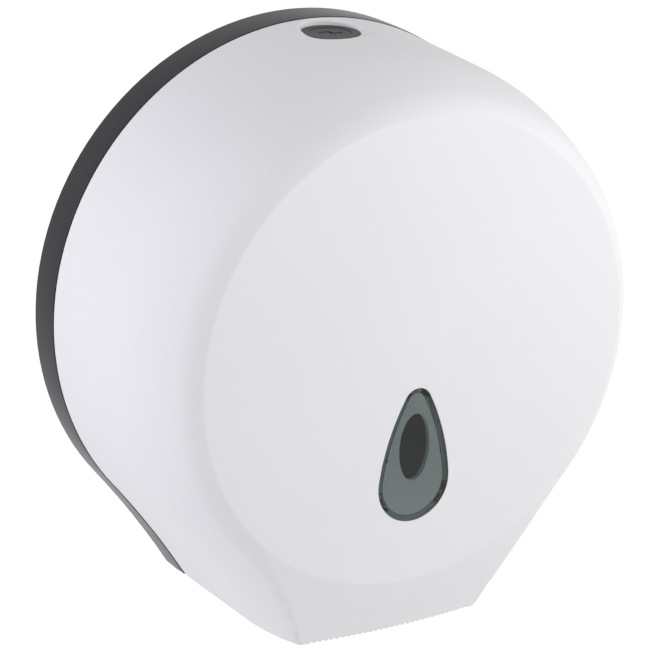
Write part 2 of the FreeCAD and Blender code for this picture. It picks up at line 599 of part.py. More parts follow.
def cover_cuts():
    wide = ("-{outline_radius}", "{outline_radius}")
    below = block("cut_below", wide, ("-{overrun}", "{overall_depth} + {overrun}"),
                  ("-{bottom_drop} - {outline_radius}", "-{bottom_drop}"))
    corner_block = block("cut_corner_block", wide, ("{cover_back} - {overrun}", "{hinge_depth}"),
                         ("-{bottom_drop} - {overrun}", "-{hinge_drop}"))
    corner_round = rod("cut_corner_round", "{hinge_lug_radius}", "2 * {outline_radius}",
                       x="-{outline_radius}", depth="{hinge_depth}", z="-{hinge_drop}", along="right")
    corner = cut("cut_corner", corner_block, [corner_round])
    pin_hole = rod("cut_pin_hole", "{pin_radius} + {pin_clearance}",
                   "{pin_engagement} + {hinge_gap} + {overrun}", x="{lug_inner} - {overrun}",
                   depth="{hinge_depth}", z="-{hinge_drop}", along="right")
    seat = rod("cut_lock_seat", "{bezel_radius} + {bezel_clearance}", "{lock_seat_drop} + {overrun}",
               depth="{lock_depth}", z="{lock_seat}", along="up")
    barrel = rod("cut_lock_barrel", "{barrel_radius} + {barrel_clearance}",
                 "{lock_boss_depth} + 2 * {overrun}",
                 depth="{lock_depth}", z="{lock_boss_under} - {overrun}", along="up")
    recess = teardrop_pad("cut_window", "0",
                          "{overall_depth} - {window_depth}", "{overall_depth} + {overrun}")
    island = teardrop_pad("cut_window_island", "-{island_inset}",
                          "{overall_depth} - {window_depth} - {overrun}", "{island_front}")
    groove = cut("cut_window_groove", recess, [island])
    left_pin_hole = mirrored("cut_left_pin_hole", pin_hole)
    cuts = [below, corner, pin_hole, left_pin_hole, seat, barrel, groove, view_hole()]
    cuts += [hook_slot(*spot) for spot in hooks("cut_slot")]
    cuts += [tear_notch(index) for index in range(int(number("{tooth_count}")))]
    return cuts


def view_hole():
    oval = doc.addObject("Part::Ellipse", "view_oval")
    bind(oval, "MajorRadius", "{view_half_height}")
    bind(oval, "MinorRadius", "{view_half_width}")
    # The long axis stands upright and the oval faces the viewer
    oval.Placement.Rotation = ALONG["front"].multiply(FreeCAD.Rotation(FreeCAD.Vector(0, 0, 1), 90))
    put(oval, "0", "{window_back} - {overrun}", "-{view_drop}")
    hole = doc.addObject("Part::Extrusion", "cut_view_hole")
    hole.Base = oval
    hole.DirMode = "Custom"
    hole.Dir = FreeCAD.Vector(0, -1, 0)
    hole.Solid = True
    bind(hole, "LengthFwd", "{overall_depth} - {window_back} + 2 * {overrun}")
    return hole


def tear_notch(index):
    notch = doc.addObject("Part::Box", f"cut_notch_{index}")
    notch.Placement.Rotation = FreeCAD.Rotation(FreeCAD.Vector(0, 1, 0), 45)
    side = "{tooth_height} * sqrt(2)"
    bind(notch, "Length", side)
    bind(notch, "Height", side)
    bind(notch, "Width", "{lip_room} + {overrun}")
    across = f"({index} - ({{tooth_count}} - 1) / 2) * {{tooth_pitch}} - {{tooth_height}}"
    return put(notch, across, "{overall_depth} + {overrun}", "-{bottom_drop}")


def hooks(name):
    low = ("{hook_low_ring}", "{window_big_drop}")
    high = ("{hook_high_ring}", "{window_small_drop}")
    return [
        (name + "_low_right_a", *low, "360 - {hook_low_angle} - {hook_spread}"),
        (name + "_low_right_b", *low, "360 - {hook_low_angle} + {hook_spread}"),
        (name + "_low_left_a", *low, "180 + {hook_low_angle} - {hook_spread}"),
        (name + "_low_left_b", *low, "180 + {hook_low_angle} + {hook_spread}"),
        (name + "_high_right", *high, "{hook_high_angle}"),
        (name + "_high_left", *high, "180 - {hook_high_angle}"),
    ]


def hook_slot(name, ring, drop, angle):
    across = "({hook_thickness} / 2 + {hook_clearance})"
    along = "({hook_width} / 2 + {hook_clearance})"
    slot = block(
        name + "_block",
        (f"{ring} - {across}", f"{ring} + {across}"),
        ("{window_back} - {overrun}", "{overall_depth} - {window_depth} + {overrun}"),
        (f"-{along}", along),
    )
    return spun(name, slot, angle, drop)


def hook(name, ring, drop, angle):
    outer = f"{ring} + {{hook_thickness}} / 2"
    along = ("-{hook_width} / 2", "{hook_width} / 2")
    barb_front = "{window_back} - {hook_clearance}"
    barb_back = f"{barb_front} - {{hook_barb_height}}"
    inner = f"{ring} - {{hook_thickness}} / 2"
    leg = block(name + "_leg", (inner, outer), (barb_back, "{island_front}"), along)
    barb = block(name + "_barb", (outer, f"{outer} + {{hook_barb}}"), (barb_back, barb_front), along)
    return spun(name, fuse(name + "_hook", [leg, barb]), angle, drop)


def make_window_lens():
    plate = teardrop_pad("lens_plate_pad", "-{lens_clearance}", "{lens_back}", "{overall_depth}")
    hollow = teardrop_pad("lens_hollow", "-{lens_clearance} - {lens_rim_width}",
                          "{lens_back} - {overrun}", "{overall_depth} - {lens_plate}")
    dish = cut("lens_dish", plate, [hollow])
    return fuse("window_lens", [dish] + [hook(*spot) for spot in hooks("lens_hook")])


def make_back_plate():
    tray = new_body("tray")
    rear = new_sketch(tray, "tray_rear", "XZ_Plane")
    outline(rear, "{outline_radius}", "{bottom_drop}")
    pad(tray, "tray_rear_pad", rear, "{base_depth} - {rim_taper_depth}")
    front = new_sketch(tray, "tray_front", "XZ_Plane", "{base_depth} - {rim_taper_depth}")
    outline(front, "{outline_radius}", "{bottom_drop}")
    taper = pad(tray, "tray_front_pad", front, "{rim_taper_depth}")
    bind(taper, "TaperAngle", "-atan({rim_taper_inset} / {rim_taper_depth})")
    inside = new_body("tray_inside")
    hollow = new_sketch(inside, "tray_hollow", "XZ_Plane", "{base_floor}")
    outline(hollow, "{tray_radius}", "{tray_drop}")
    pad(inside, "tray_hollow_pad", hollow, "{base_depth} + {overrun}")
    shell = cut("tray_shell", tray, [inside])
    pedestal = rod("pedestal", "{pedestal_radius}", "{pedestal_height} + {base_floor} / 2",
                   depth="{base_floor} / 2")
    solids = [shell, pedestal, keeper_boss(), guide_lip()]
    solids += [rod(f"wall_boss_{name}", "{wall_boss_radius}", "{base_floor} / 2 + {wall_boss_height}",
                   x=x, depth="{base_floor} / 2", z=z) for name, x, z in wall_hole_places()]
    solids += [rib(index) for index in range(int(number("{rib_count}")))]
    ear = hinge_ear()
    solids += [ear, mirrored("left_ear", ear)]
    return cut("back_plate", fuse("back_plate_solid", solids), back_plate_cuts())


def keeper_boss():
    return block(
        "keeper_boss",
        ("{keeper_offset} - {keeper_boss_margin}", "{keeper_far} + {keeper_boss_margin}"),
        ("{base_floor} / 2", "{pedestal_top}"),
        ("{keeper_foot_under} - {keeper_boss_margin}", "{keeper_arm_top} + {keeper_boss_margin}"),
    )


def guide_lip():
    outer = "{cover_inside} - {guide_gap}"
    depth = "{base_floor} / 2"
    length = "{base_depth} + {guide_depth} - {base_floor} / 2"
    ring = cut("guide_ring", rod("guide_outer", outer, length, depth=depth),
               [rod("guide_inner", f"{outer} - {{guide_wall}}", f"{length} + {{overrun}}", depth=depth)])
    upper = block("guide_upper", ("-{outline_radius}", "{outline_radius}"),
                  ("0", "{overall_depth}"), ("-{guide_drop}", "{outline_radius}"))
    lock_room = block("guide_lock_room", ("-{lock_boss_radius}", "{lock_boss_radius}"),
                      ("{base_depth}", "{overall_depth}"), ("0", "{outline_radius}"))
    return cut("guide_lip", common("guide_upper_ring", ring, upper), [lock_room])


def wall_hole_places():
    return [(f"{side}_{level}", f"{across} * {{wall_hole_wide}} / 2", f"{up} * {{wall_hole_high}} / 2")
            for side, across in (("right", 1), ("left", -1))
            for level, up in (("high", 1), ("low", -1))]


def rib(index):
    bar = block(f"rib_{index}_bar", ("{pedestal_radius} - {overrun}", "{tray_radius} + {base_wall} / 2"),
                ("{base_floor} / 2", "{base_floor} + {rib_height}"), ("-{rib_width} / 2", "{rib_width} / 2"))
    return spun(f"rib_{index}", bar, f"{index} * 360 / {{rib_count}}")


def hinge_ear():
    x = ("{ear_inner}", "{ear_outer}")
    level = ("-{bottom_drop}", "-{hinge_drop} + {hinge_lug_radius}")
    arm = block("ear_arm", x, ("{base_floor} / 2", "{hinge_depth}"), level)
    knuckle = rod("ear_knuckle", "{hinge_lug_radius}", "{ear_width}",
                  x="{ear_inner}", depth="{hinge_depth}", z="-{hinge_drop}", along="right")
    return fuse("right_ear", [arm, knuckle])


def back_plate_cuts():
    through = "{base_floor} + {wall_boss_height} + 2 * {overrun}"
    cuts = [rod(f"wall_hole_{name}", "{wall_hole_radius}", through, x=x, depth="-{overrun}", z=z)
            for name, x, z in wall_hole_places()]
    cuts += [rod(f"post_hole_{index}", "{post_screw_radius}", "{post_screw_length} + {overrun}",
                 x=x, depth="{pedestal_top} - {post_screw_length} + {post_flange}", z=z)
             for index, (x, z) in enumerate(post_screw_places())]
    cuts += [rod(f"keeper_hole_{index}", "{keeper_screw_radius}", "{keeper_screw_length} + {overrun}",
                 x=x, depth="{keeper_foot_front} - {keeper_screw_length}", z=z)
             for index, (x, z) in enumerate(keeper_screw_places())]
    pin_hole = rod("ear_pin_hole", "{pin_radius}", "{ear_width} + 2 * {overrun}",
                   x="{ear_inner} - {overrun}", depth="{hinge_depth}", z="-{hinge_drop}", along="right")
    return cuts + [pin_hole, mirrored("left_ear_pin_hole", pin_hole)]


def post_screw_places():
    count = int(number("{post_screw_count}"))
    angles = [f"({index} + 1 / 2) * 360 / {{post_screw_count}}" for index in range(count)]
    return [(f"{{post_screw_circle}} * cos({angle})", f"{{post_screw_circle}} * sin({angle})")
            for angle in angles]


def keeper_screw_places():
    return [(f"{{keeper_middle}} + {side} * {{keeper_screw_spacing}} / 2", "{keeper_screw_level}")
            for side in (-1, 1)]


def make_latch_keeper():
    x = ("{keeper_offset}", "{keeper_far}")
    foot = block("keeper_foot_plate", x, ("{pedestal_top}", "{keeper_foot_front}"),
                 ("{keeper_foot_under}", "{keeper_arm_top}"))
    arm = block("keeper_arm", x, ("{pedestal_top}", "{keeper_hook_front}"),
                ("{keeper_arm_under}", "{keeper_arm_top}"))
    catch = block("keeper_catch", x, ("{keeper_hook_back}", "{keeper_hook_front}"),
                  ("{keeper_arm_under}", "{keeper_hook_top}"))
    holes = [rod(f"keeper_screw_hole_{index}", "{keeper_screw_radius}", "{keeper_thickness} + 2 * {overrun}",
                 x=x, depth="{pedestal_top} - {overrun}", z=z)
             for index, (x, z) in enumerate(keeper_screw_places())]
    return cut("latch_keeper", fuse("keeper_solid", [foot, arm, catch]), holes)


def make_keeper_screws():
    screws = [front_screw(f"keeper_screw_{index}", "keeper", "{keeper_foot_front}", x, z)
              for index, (x, z) in enumerate(keeper_screw_places())]
    return group("keeper_screws", screws)


def make_hinge_pin(name, side):
    length = "{ear_width} + {hinge_gap} + {pin_engagement}"
    pin = rod(name + "_right", "{pin_radius}", length,
              x="{ear_inner}", depth="{hinge_depth}", z="-{hinge_drop}", along="right")
    return group(name, [pin if side > 0 else mirrored(name + "_left", pin)])


# Lock

def upright(name, radius, low, high):
    return rod(name, radius, f"{high} - ({low})", depth="{lock_depth}", z=low, along="up")


def upright_square(name, side, low, high):
    return block(name, (f"-{side} / 2", f"{side} / 2"),
                 (f"{{lock_depth}} - {side} / 2", f"{{lock_depth}} + {side} / 2"), (low, high))


def make_lock_housing():
    bezel = upright("bezel", "{bezel_radius}", "{lock_seat}", "{lock_seat} + {bezel_thickness}")
    barrel = upright("barrel", "{barrel_radius}", "{barrel_under}", "{lock_seat} + {bezel_thickness} / 2")
    head_bore = upright("head_bore", "{plug_radius} + {plug_clearance}",
                        "{plug_seat}", "{lock_seat} + {bezel_thickness} + {overrun}")
    shaft_bore = upright("shaft_bore", "{plug_shaft_radius} + {plug_clearance}",
                         "{barrel_under} - {overrun}", "{plug_seat} + {overrun}")
    return cut("lock_housing", fuse("lock_housing_solid", [bezel, barrel]), [head_bore, shaft_bore])


def make_lock_nut():
    ring = upright("nut_ring", "{nut_radius}", "{lock_boss_under} - {nut_thickness}", "{lock_boss_under}")
    bore = upright("nut_bore", "{barrel_radius}", "{lock_boss_under} - {nut_thickness} - {overrun}",
                   "{lock_boss_under} + {overrun}")
    return cut("lock_nut", ring, [bore])


def make_lock_plug():
    head = upright("plug_head", "{plug_radius}", "{plug_seat} + {plug_clearance}", "{plug_top}")
    shaft = upright("plug_shaft", "{plug_shaft_radius}", "{cam_top}", "{plug_seat} + {overrun}")
    tang = upright_square("plug_tang", "{tang_side}", "{cam_under}", "{cam_top} + {overrun}")
    hole = upright("plug_screw_hole", "{cam_screw_radius}", "{cam_under} - {overrun}",
                   "{cam_under} + {cam_screw_length}")
    level = ("{plug_top} - {keyway_depth}", "{plug_top} + {overrun}")
    bars = []
    for name, side in (("near", 1), ("far", -1)):
        inner, outer = f"{side} * {{keyway_width}} / -2", f"{side} * {{keyway_bar}}"
        x = (inner, outer) if side > 0 else (outer, inner)
        middle = f"{{lock_depth}} + {side} * {{keyway_step}} / 2"
        depth = (f"{middle} - {{keyway_width}} / 2", f"{middle} + {{keyway_width}} / 2")
        bars.append(block(f"keyway_{name}", x, depth, level))
    link = block("keyway_link", ("-{keyway_width} / 2", "{keyway_width} / 2"),
                 ("{lock_depth} - {keyway_step} / 2", "{lock_depth} + {keyway_step} / 2"), level)
    return cut("lock_plug", fuse("lock_plug_solid", [head, shaft, tang]), [hole, link] + bars)


def make_lock_cam():
    eye = upright("cam_eye", "{plug_shaft_radius}", "{cam_under}", "{cam_top}")
    arm_end = "{lock_depth} - {cam_reach} + {cam_width} / 2"
    arm = block("cam_arm", ("-{cam_width} / 2", "{cam_width} / 2"),
                (arm_end, "{lock_depth}"), ("{cam_under}", "{cam_top}"))
    tip = rod("cam_tip", "{cam_width} / 2", "{cam_thickness}", depth=arm_end, z="{cam_under}", along="up")
    square = upright_square("cam_square", "{tang_side}", "{cam_under} - {overrun}", "{cam_top} + {overrun}")
    return cut("lock_cam", fuse("lock_cam_solid", [eye, arm, tip]), [square])


def make_cam_washer():
    disc = upright("cam_washer_disc", "{cam_washer_radius}", "{cam_washer_under}", "{cam_under}")
    hole = upright("cam_washer_hole", "{cam_screw_radius}",
                   "{cam_washer_under} - {overrun}", "{cam_under} + {overrun}")
    return cut("cam_washer", disc, [hole])


def make_cam_screw():
    shank = upright("cam_screw_shank", "{cam_screw_radius}",
                    "{cam_washer_under}", "{cam_under} + {cam_screw_length}")
    under = "{cam_washer_under} - {cam_head_height}"
    head = upright("cam_screw_head", "{cam_head_radius}", under, "{cam_washer_under}")
    reach = "({cam_head_radius} + {overrun})"
    slot = block("cam_screw_slot", (f"-{reach}", reach),
                 ("{lock_depth} - {screw_slot_width} / 2", "{lock_depth} + {screw_slot_width} / 2"),
                 (f"{under} - {{overrun}}", f"{under} + {{screw_slot_depth}}"))
    return cut("cam_screw", fuse("cam_screw_solid", [shank, head]), [slot])


# Spindle and hub

def make_spindle_post():
    post = turned("spindle_turned", [
        ("0", "{pedestal_top}"),
        ("{post_flange_radius}", "{pedestal_top}"),
        ("{post_flange_radius}", "{post_flange_front}"),
        ("{post_shoulder_radius}", "{post_flange_front}"),
        ("{post_shoulder_radius}", "{post_shoulder_front}"),
        ("{post_radius}", "{post_shoulder_front}"),
        ("{post_radius}", "{post_front}"),
        ("{hub_screw_radius}", "{post_front}"),
        ("{hub_screw_radius}", "{hub_washer_front} - {hub_screw_length}"),
        ("0", "{hub_washer_front} - {hub_screw_length}"),
    ])
    holes = [rod(f"post_flange_hole_{index}", "{post_screw_radius}", "{post_flange} + 2 * {overrun}",
                 x=x, depth="{pedestal_top} - {overrun}", z=z)
             for index, (x, z) in enumerate(post_screw_places())]
    return cut("spindle_post", post, holes)


def make_spindle_screws():
    screws = [front_screw(f"spindle_screw_{index}", "post", "{post_flange_front}", x, z)
              for index, (x, z) in enumerate(post_screw_places())]
    return group("spindle_screws", screws)


def make_roll_hub():
    hub = turned("hub_turned", [
        ("{hub_bore}", "{hub_back}"),
        ("{hub_bore} + {hub_tube_wall}", "{hub_back}"),
        ("{hub_bore} + {hub_tube_wall}", "{hub_web_back}"),
        ("{hub_inside}", "{hub_web_back}"),
        ("{hub_inside}", "{hub_back}"),
        ("{hub_flange_radius}", "{hub_back}"),
        ("{hub_flange_radius}", "{hub_flange_front}"),
        ("{hub_radius}", "{hub_flange_front}"),
        ("{hub_radius}", "{hub_front}"),
        ("{hub_inside}", "{hub_front}"),
        ("{hub_inside}", "{hub_web_front}"),
        ("{hub_bore}", "{hub_web_front}"),
    ])
    count = int(number("{groove_count}"))
    grooves = []
    for index in range(count):
        bar = block(f"hub_groove_{index}_bar", ("{hub_radius} - {groove_depth}", "{hub_radius} + {overrun}"),
                    ("{hub_flange_front}", "{hub_front} + {overrun}"),
                    ("-{groove_width} / 2", "{groove_width} / 2"))
        grooves.append(spun(f"hub_groove_{index}", bar, f"{index} * 360 / {{groove_count}}"))
    return cut("roll_hub", hub, grooves)


def make_hub_cap():
    skirt_back = "{hub_front} - {cap_skirt}"
    return turned("hub_cap", [
        ("0", "{hub_front}"),
        ("{hub_inside} - {cap_skirt_wall}", "{hub_front}"),
        ("{hub_inside} - {cap_skirt_wall}", skirt_back),
        ("{hub_inside}", skirt_back),
        ("{hub_inside}", "{hub_front}"),
        ("{cap_radius}", "{hub_front}"),
        ("{cap_radius}", "{hub_front} + {cap_thickness} / 2"),
        ("{cap_radius} - {cap_thickness} / 2", "{hub_front} + {cap_thickness}"),
        ("0", "{hub_front} + {cap_thickness}"),
    ])


SUBPARTS = {
    "back_plate": make_back_plate(),
    "latch_keeper": make_latch_keeper(),
    "keeper_screws": make_keeper_screws(),
    "hinge_pin_right": make_hinge_pin("hinge_pin_right", 1),
    "hinge_pin_left": make_hinge_pin("hinge_pin_left", -1),
    "spindle_post": make_spindle_post(),
    "spindle_screws": make_spindle_screws(),
    "thrust_washer": washer("thrust_washer", "{post_shoulder_radius}", "{post_radius}",
                            "{thrust_washer}", "{post_shoulder_front}"),
    "hub_washer": washer("hub_washer", "{hub_washer_radius}", "{hub_screw_radius}",
                         "{hub_washer_thickness}", "{post_front}"),
    "hub_screw": front_screw("hub_screw", "hub", "{hub_washer_front}"),
    "front_cover": make_front_cover(),
    "window_lens": make_window_lens(),
    "lock_housing": make_lock_housing(),
    "lock_nut": make_lock_nut(),
    "lock_plug": make_lock_plug(),
    "lock_cam": make_lock_cam(),
    "cam_washer": make_cam_washer(),
    "cam_screw": make_cam_screw(),
    "roll_hub": make_roll_hub(),
    "hub_cap": make_hub_cap(),
}

for node, item in SUBPARTS.items():
    item.Label = node
doc.recompute()

# Every object is whole before anything is written
for item in doc.Objects:
    if "Invalid" in item.State or "Error" in item.State:
        raise RuntimeError(f"{item.Name} did not build: {item.State}")
for node, item in SUBPARTS.items():
    if item.Shape.isNull() or not item.Shape.isValid() or item.Shape.Volume <= 0:
        raise RuntimeError(f"{node} has no sound shape")

os.makedirs("parts", exist_ok=True)
for node, item in SUBPARTS.items():
    item.Shape.exportStep(f"parts/{node}.step")
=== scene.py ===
import json
import math

import bmesh
import bpy
from mathutils import Matrix, Vector


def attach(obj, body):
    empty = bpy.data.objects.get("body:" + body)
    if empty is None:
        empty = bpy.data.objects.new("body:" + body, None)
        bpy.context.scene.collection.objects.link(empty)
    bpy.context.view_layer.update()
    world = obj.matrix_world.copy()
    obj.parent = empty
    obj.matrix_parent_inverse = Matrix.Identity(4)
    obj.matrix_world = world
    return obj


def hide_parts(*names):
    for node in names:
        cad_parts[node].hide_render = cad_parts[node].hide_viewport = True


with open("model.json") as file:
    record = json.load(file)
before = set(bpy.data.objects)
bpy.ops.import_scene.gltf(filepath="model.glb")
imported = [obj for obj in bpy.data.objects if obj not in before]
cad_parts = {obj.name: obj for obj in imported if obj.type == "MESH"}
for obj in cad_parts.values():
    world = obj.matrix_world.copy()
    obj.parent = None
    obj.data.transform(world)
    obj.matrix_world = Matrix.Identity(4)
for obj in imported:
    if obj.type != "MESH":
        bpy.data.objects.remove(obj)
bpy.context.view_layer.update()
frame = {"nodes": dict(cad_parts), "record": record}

NODES = frame["nodes"]
SLOT_OF = {part["node"]: part["material_slot"] for part in frame["record"]["subparts"]}
BODIES = frame["record"]["behaviour"]["bodies"]
BODY_OF = {node: body for body, nodes in BODIES.items() for node in nodes}

# Camera: where it stands round the roll's axis, in metres and degrees, and its lens in millimetres
CAMERA_AZIMUTH = -31.7544
CAMERA_ELEVATION = 19.4615
CAMERA_ROLL = 2.4359
CAMERA_DISTANCE = 1.24606
CAMERA_AIM = Vector((0.0, -0.060, 0.0))
CAMERA_PAN = (-0.009754, -0.006698)
CAMERA_LENS = 144.0
CAMERA_SENSOR = 36.0

# Studio: a pale floor well below the wall-hung object, even light all round and four soft boxes
FLOOR_LEVEL = -0.55
FLOOR_HALF_SIZE = 14.0
FLOOR_COLOUR = (0.88, 0.88, 0.88, 1.0)
FLOOR_ROUGHNESS = 0.9
FLOOR_LIFT = 0.67
AMBIENT_COLOUR = (0.99, 0.985, 1.02, 1.0)
AMBIENT_STRENGTH = 0.404
COOL_LIGHT = (0.98, 0.97, 1.05)
PLAIN_LIGHT = (1.0, 1.0, 1.0)
WHITE = (1.0, 1.0, 1.0, 1.0)
# name, azimuth and elevation in degrees, distance and side in metres, power in watts, colour
SOFT_BOXES = [
    ("left_back_box", -105.0, 30.0, 0.65, 0.50, 1.565, COOL_LIGHT),
    ("low_left_box", -75.0, -20.0, 0.80, 0.25, 1.473, COOL_LIGHT),
    ("front_right_box", 30.0, 30.0, 0.65, 0.50, 1.744, PLAIN_LIGHT),
    ("right_box", 45.0, 0.0, 1.20, 0.90, 4.243, PLAIN_LIGHT),
]

# Sizes in millimetres, most of them as in the CAD model; a depth counts from the wall towards the viewer
MM = 0.001
SIDE_ANGLE = math.radians(40.1)
SIDE_SIN, SIDE_COS = math.sin(SIDE_ANGLE), math.cos(SIDE_ANGLE)
SIDE_AXIS = 635.0
AXIS_ACROSS, AXIS_DROP = SIDE_AXIS * SIDE_COS, SIDE_AXIS * SIDE_SIN
BOTTOM_DROP = 143.6
OVERALL_DEPTH = 126.6
COVER_RADIUS = 134.3
COVER_WALL = 2.5
COVER_BACK = 18.9
SHOULDER_START = 77.1
SIDE_DRAFT = 2.35
SIDE_SLOPE = SIDE_DRAFT / (SHOULDER_START - COVER_BACK)
SIDE_LEAN = math.atan(SIDE_SLOPE)
SIDE_TOP = -(COVER_RADIUS - SIDE_DRAFT) * SIDE_SIN
BOW_RADIUS = 106.0
NOSE_RADIUS = 20.0
DISC_RADIUS = 113.2
SLOPE_START = 113.5
LIP_SETBACK = 11.6
LIP_SLOPE = LIP_SETBACK / (BOTTOM_DROP - SLOPE_START)
TOOTH_PITCH = 3.0
TOOTH_HEIGHT = 1.2
TOOTH_COUNT = 30
TOOTH_MARGIN = 0.8
TEETH_END = (TOOTH_COUNT - 1) / 2 * TOOTH_PITCH + TOOTH_HEIGHT
HINGE_DEPTH = 23.3
HINGE_DROP = 139.2
HINGE_LUG_RADIUS = 4.4
LUG_GAP = 0.05
LUG_INNER = 46.98
PIN_HOLE_RADIUS = 1.65
PIN_HOLE_LENGTH = 10.3
WINDOW_DEPTH = 2.4
WINDOW_BACK = 122.4
ISLAND_FRONT = 124.95
ISLAND_INSET = 2.7
ISLAND_SPARE = 0.5
WINDOW_FRAME = 2.0
BIG_ROUND, BIG_DROP = 19.4, 63.6
SMALL_ROUND, SMALL_DROP = 7.4, 23.9
WINDOW_BOW = 112.0
HOOK_INSET = 1.2
SLOT_INWARD, SLOT_OUTWARD = 1.4, 0.9
# First and last turn of each hook slot, in degrees
LOW_SLOTS = [(-46.0, -8.0), (188.0, 226.0)]
HIGH_SLOTS = [(15.0, 65.0), (115.0, 165.0)]
CLIP_ACROSS, CLIP_DROP = 14.9, 50.6
CLIP_HALF_WIDTH, CLIP_HALF_HEIGHT = 0.7, 0.9
VIEW_HALF_WIDTH, VIEW_HALF_HEIGHT, VIEW_DROP = 8.3, 16.7, 46.2
LOCK_DEPTH = 35.8
LOCK_SEAT = 129.8
LOCK_SEAT_RADIUS = 14.45
LOCK_BOSS_RADIUS = 16.8
LOCK_BOSS_UNDER = 125.8
LOCK_BOSS_TOP = 132.3
LOCK_HOLE_RADIUS = 12.15
# How far a shape that cuts reaches past the surface that it opens
CUT_SPARE = 1.0
LOCK_CUT_SPARE = 2.0

# Rounding that the mesh adds to the CAD model's sharp edges, in millimetres
DISC_EDGE_BLEND = 0.25
LIP_CORNER_BLEND = 1.5
LIP_CORNER_RUN = 20.0
RIM_ROUND = 0.2
WINDOW_EDGE, WINDOW_EDGE_MIDDLE = 0.2, 0.06
FRAME_EDGE = 0.3
BOSS_EDGE = 0.4
LUG_EDGE, LUG_EDGE_MIDDLE = 0.4, 0.1
RECESS_ROUND = 1.2
RECESS_FRONT_RUN = 5.5
RECESS_FRONT_SINK = 0.6
RECESS_RIM_RISE = 0.1
EDGE_ROUND = 0.25
LENS_EDGE_ROUND = 0.1
# Where the recess begins to run out to the front and where it does so fully, in radii of the lock's seat
RECESS_FRONT_FROM, RECESS_FRONT_TO = -0.3, 0.6

# Steps of the cover's mesh: counts, shares of a length, and turns in degrees
BOW_STEPS = 12
NOSE_STEPS = 13
SIDE_STEPS = 16
BOTTOM_STEPS = 16
ROUND_STEPS = 130
CREASE_STEPS = (-2.4, -0.8, 0.8, 2.4)
WALL_SHARES = (0.8, 0.6, 0.4, 0.2, 0.1)
LUG_EDGE_SHARES = (0.01, 0.03)
CORNER_TURNS = range(15, 91, 15)
RIM_TURNS = (0, 30, 60, 90)
RECESS_TURNS = (0, 18, 36, 54, 72)

# Limits for tidying meshes: distances in metres, angles in degrees
SAME_POINT = 1e-7
CAD_SAME_POINT = 1e-6
FLAT_ANGLE = 0.5
SHARP_ANGLE = 35.0
COVER_SHARP_ANGLE = 30.0

# Materials: scales of their patterns to the metre, how strongly they show, and relief in metres
CLOUD_SCALE = 14.0
FLOW_SCALE = 55.0
SCUFF_AND_HIGHLIGHT_SCALE = 120.0
BRUSH_SCALE = 400.0
CLOUD_RANGE = (0.3, 0.7)
# Painted highlight along edges: its width in metres, where it starts and is full, and its samples
EDGE_HIGHLIGHT_WIDTH = 0.0005
EDGE_HIGHLIGHT_RANGE = (0.99, 0.80)
EDGE_HIGHLIGHT_SAMPLES = 4
GRAIN_STRENGTH = 0.35
PLASTIC_GLOSS_SPREAD = 0.04
STEEL_GLOSS_SPREAD = 0.08
STEEL_SHADE = 0.86
BRUSH_STRENGTH = 0.2
BRUSH_DEPTH = 0.00002
LENS_REFRACTION = 1.4
LENS_ROUGHNESS = (0.01, 0.05)
LENS_TINT = (0.0, 0.115, 0.10, 1.0)
LENS_DENSITY = 492.0


# Node helpers

def new_material(name):
    material = bpy.data.materials.new(name)
    material.use_nodes = True
    tree = material.node_tree
    shader = next(node for node in tree.nodes if node.type == "BSDF_PRINCIPLED")
    return material, tree, shader


def add_node(tree, kind, settings=None, **properties):
    node = tree.nodes.new(kind)
    for name, value in properties.items():
        setattr(node, name, value)
    for name, value in (settings or {}).items():
        node.inputs[name].default_value = value
    return node


def object_place(tree, stretch=(1.0, 1.0, 1.0)):
    place = add_node(tree, "ShaderNodeTexCoord")
    mapping = add_node(tree, "ShaderNodeMapping", {"Scale": stretch})
    tree.links.new(place.outputs["Object"], mapping.inputs["Vector"])
    return mapping.outputs["Vector"]


def noise(tree, place, scale, detail, roughness=0.5):
    texture = add_node(tree, "ShaderNodeTexNoise",
                       {"Scale": scale, "Detail": detail, "Roughness": roughness})
    tree.links.new(place, texture.inputs["Vector"])
    return texture.outputs["Fac"]


def spread(tree, value, low, high):
    ramp = add_node(tree, "ShaderNodeMapRange", {"To Min": low, "To Max": high})
    tree.links.new(value, ramp.inputs["Value"])
    return ramp.outputs["Result"]


def blend_colours(tree, value, first, second):
    ramp = add_node(tree, "ShaderNodeValToRGB")
    for element, colour, position in zip(ramp.color_ramp.elements, (first, second), CLOUD_RANGE):
        element.color = colour
        element.position = position
    tree.links.new(value, ramp.inputs["Fac"])
    return ramp.outputs["Color"]


def bump(tree, height, strength, distance):
    relief = add_node(tree, "ShaderNodeBump", {"Strength": strength, "Distance": distance})
    tree.links.new(height, relief.inputs["Height"])
    return relief.outputs["Normal"]


def grey(level, tint=(1.0, 1.0, 1.0)):
    return tuple(level * part for part in tint) + (1.0,)


def times(colour, factor):
    return tuple(min(part * factor, 1.0) for part in colour[:3]) + (1.0,)


def edge_highlight_share(tree, patches):
    """Zero on open faces, rising to one along the edges where a highlight is painted; the patches break
    up the painted highlight.
    """
    soft = add_node(tree, "ShaderNodeBevel", {"Radius": EDGE_HIGHLIGHT_WIDTH}, samples=EDGE_HIGHLIGHT_SAMPLES)
    face = add_node(tree, "ShaderNodeNewGeometry")
    match = add_node(tree, "ShaderNodeVectorMath", operation="DOT_PRODUCT")
    tree.links.new(soft.outputs["Normal"], match.inputs[0])
    tree.links.new(face.outputs["Normal"], match.inputs[1])
    open_face, full_highlight = EDGE_HIGHLIGHT_RANGE
    share = add_node(tree, "ShaderNodeMapRange", {"From Min": open_face, "From Max": full_highlight})
    tree.links.new(match.outputs["Value"], share.inputs["Value"])
    highlit = add_node(tree, "ShaderNodeMath", operation="MULTIPLY")
    tree.links.new(share.outputs["Result"], highlit.inputs[0])
    tree.links.new(patches, highlit.inputs[1])
    return highlit.outputs["Value"]


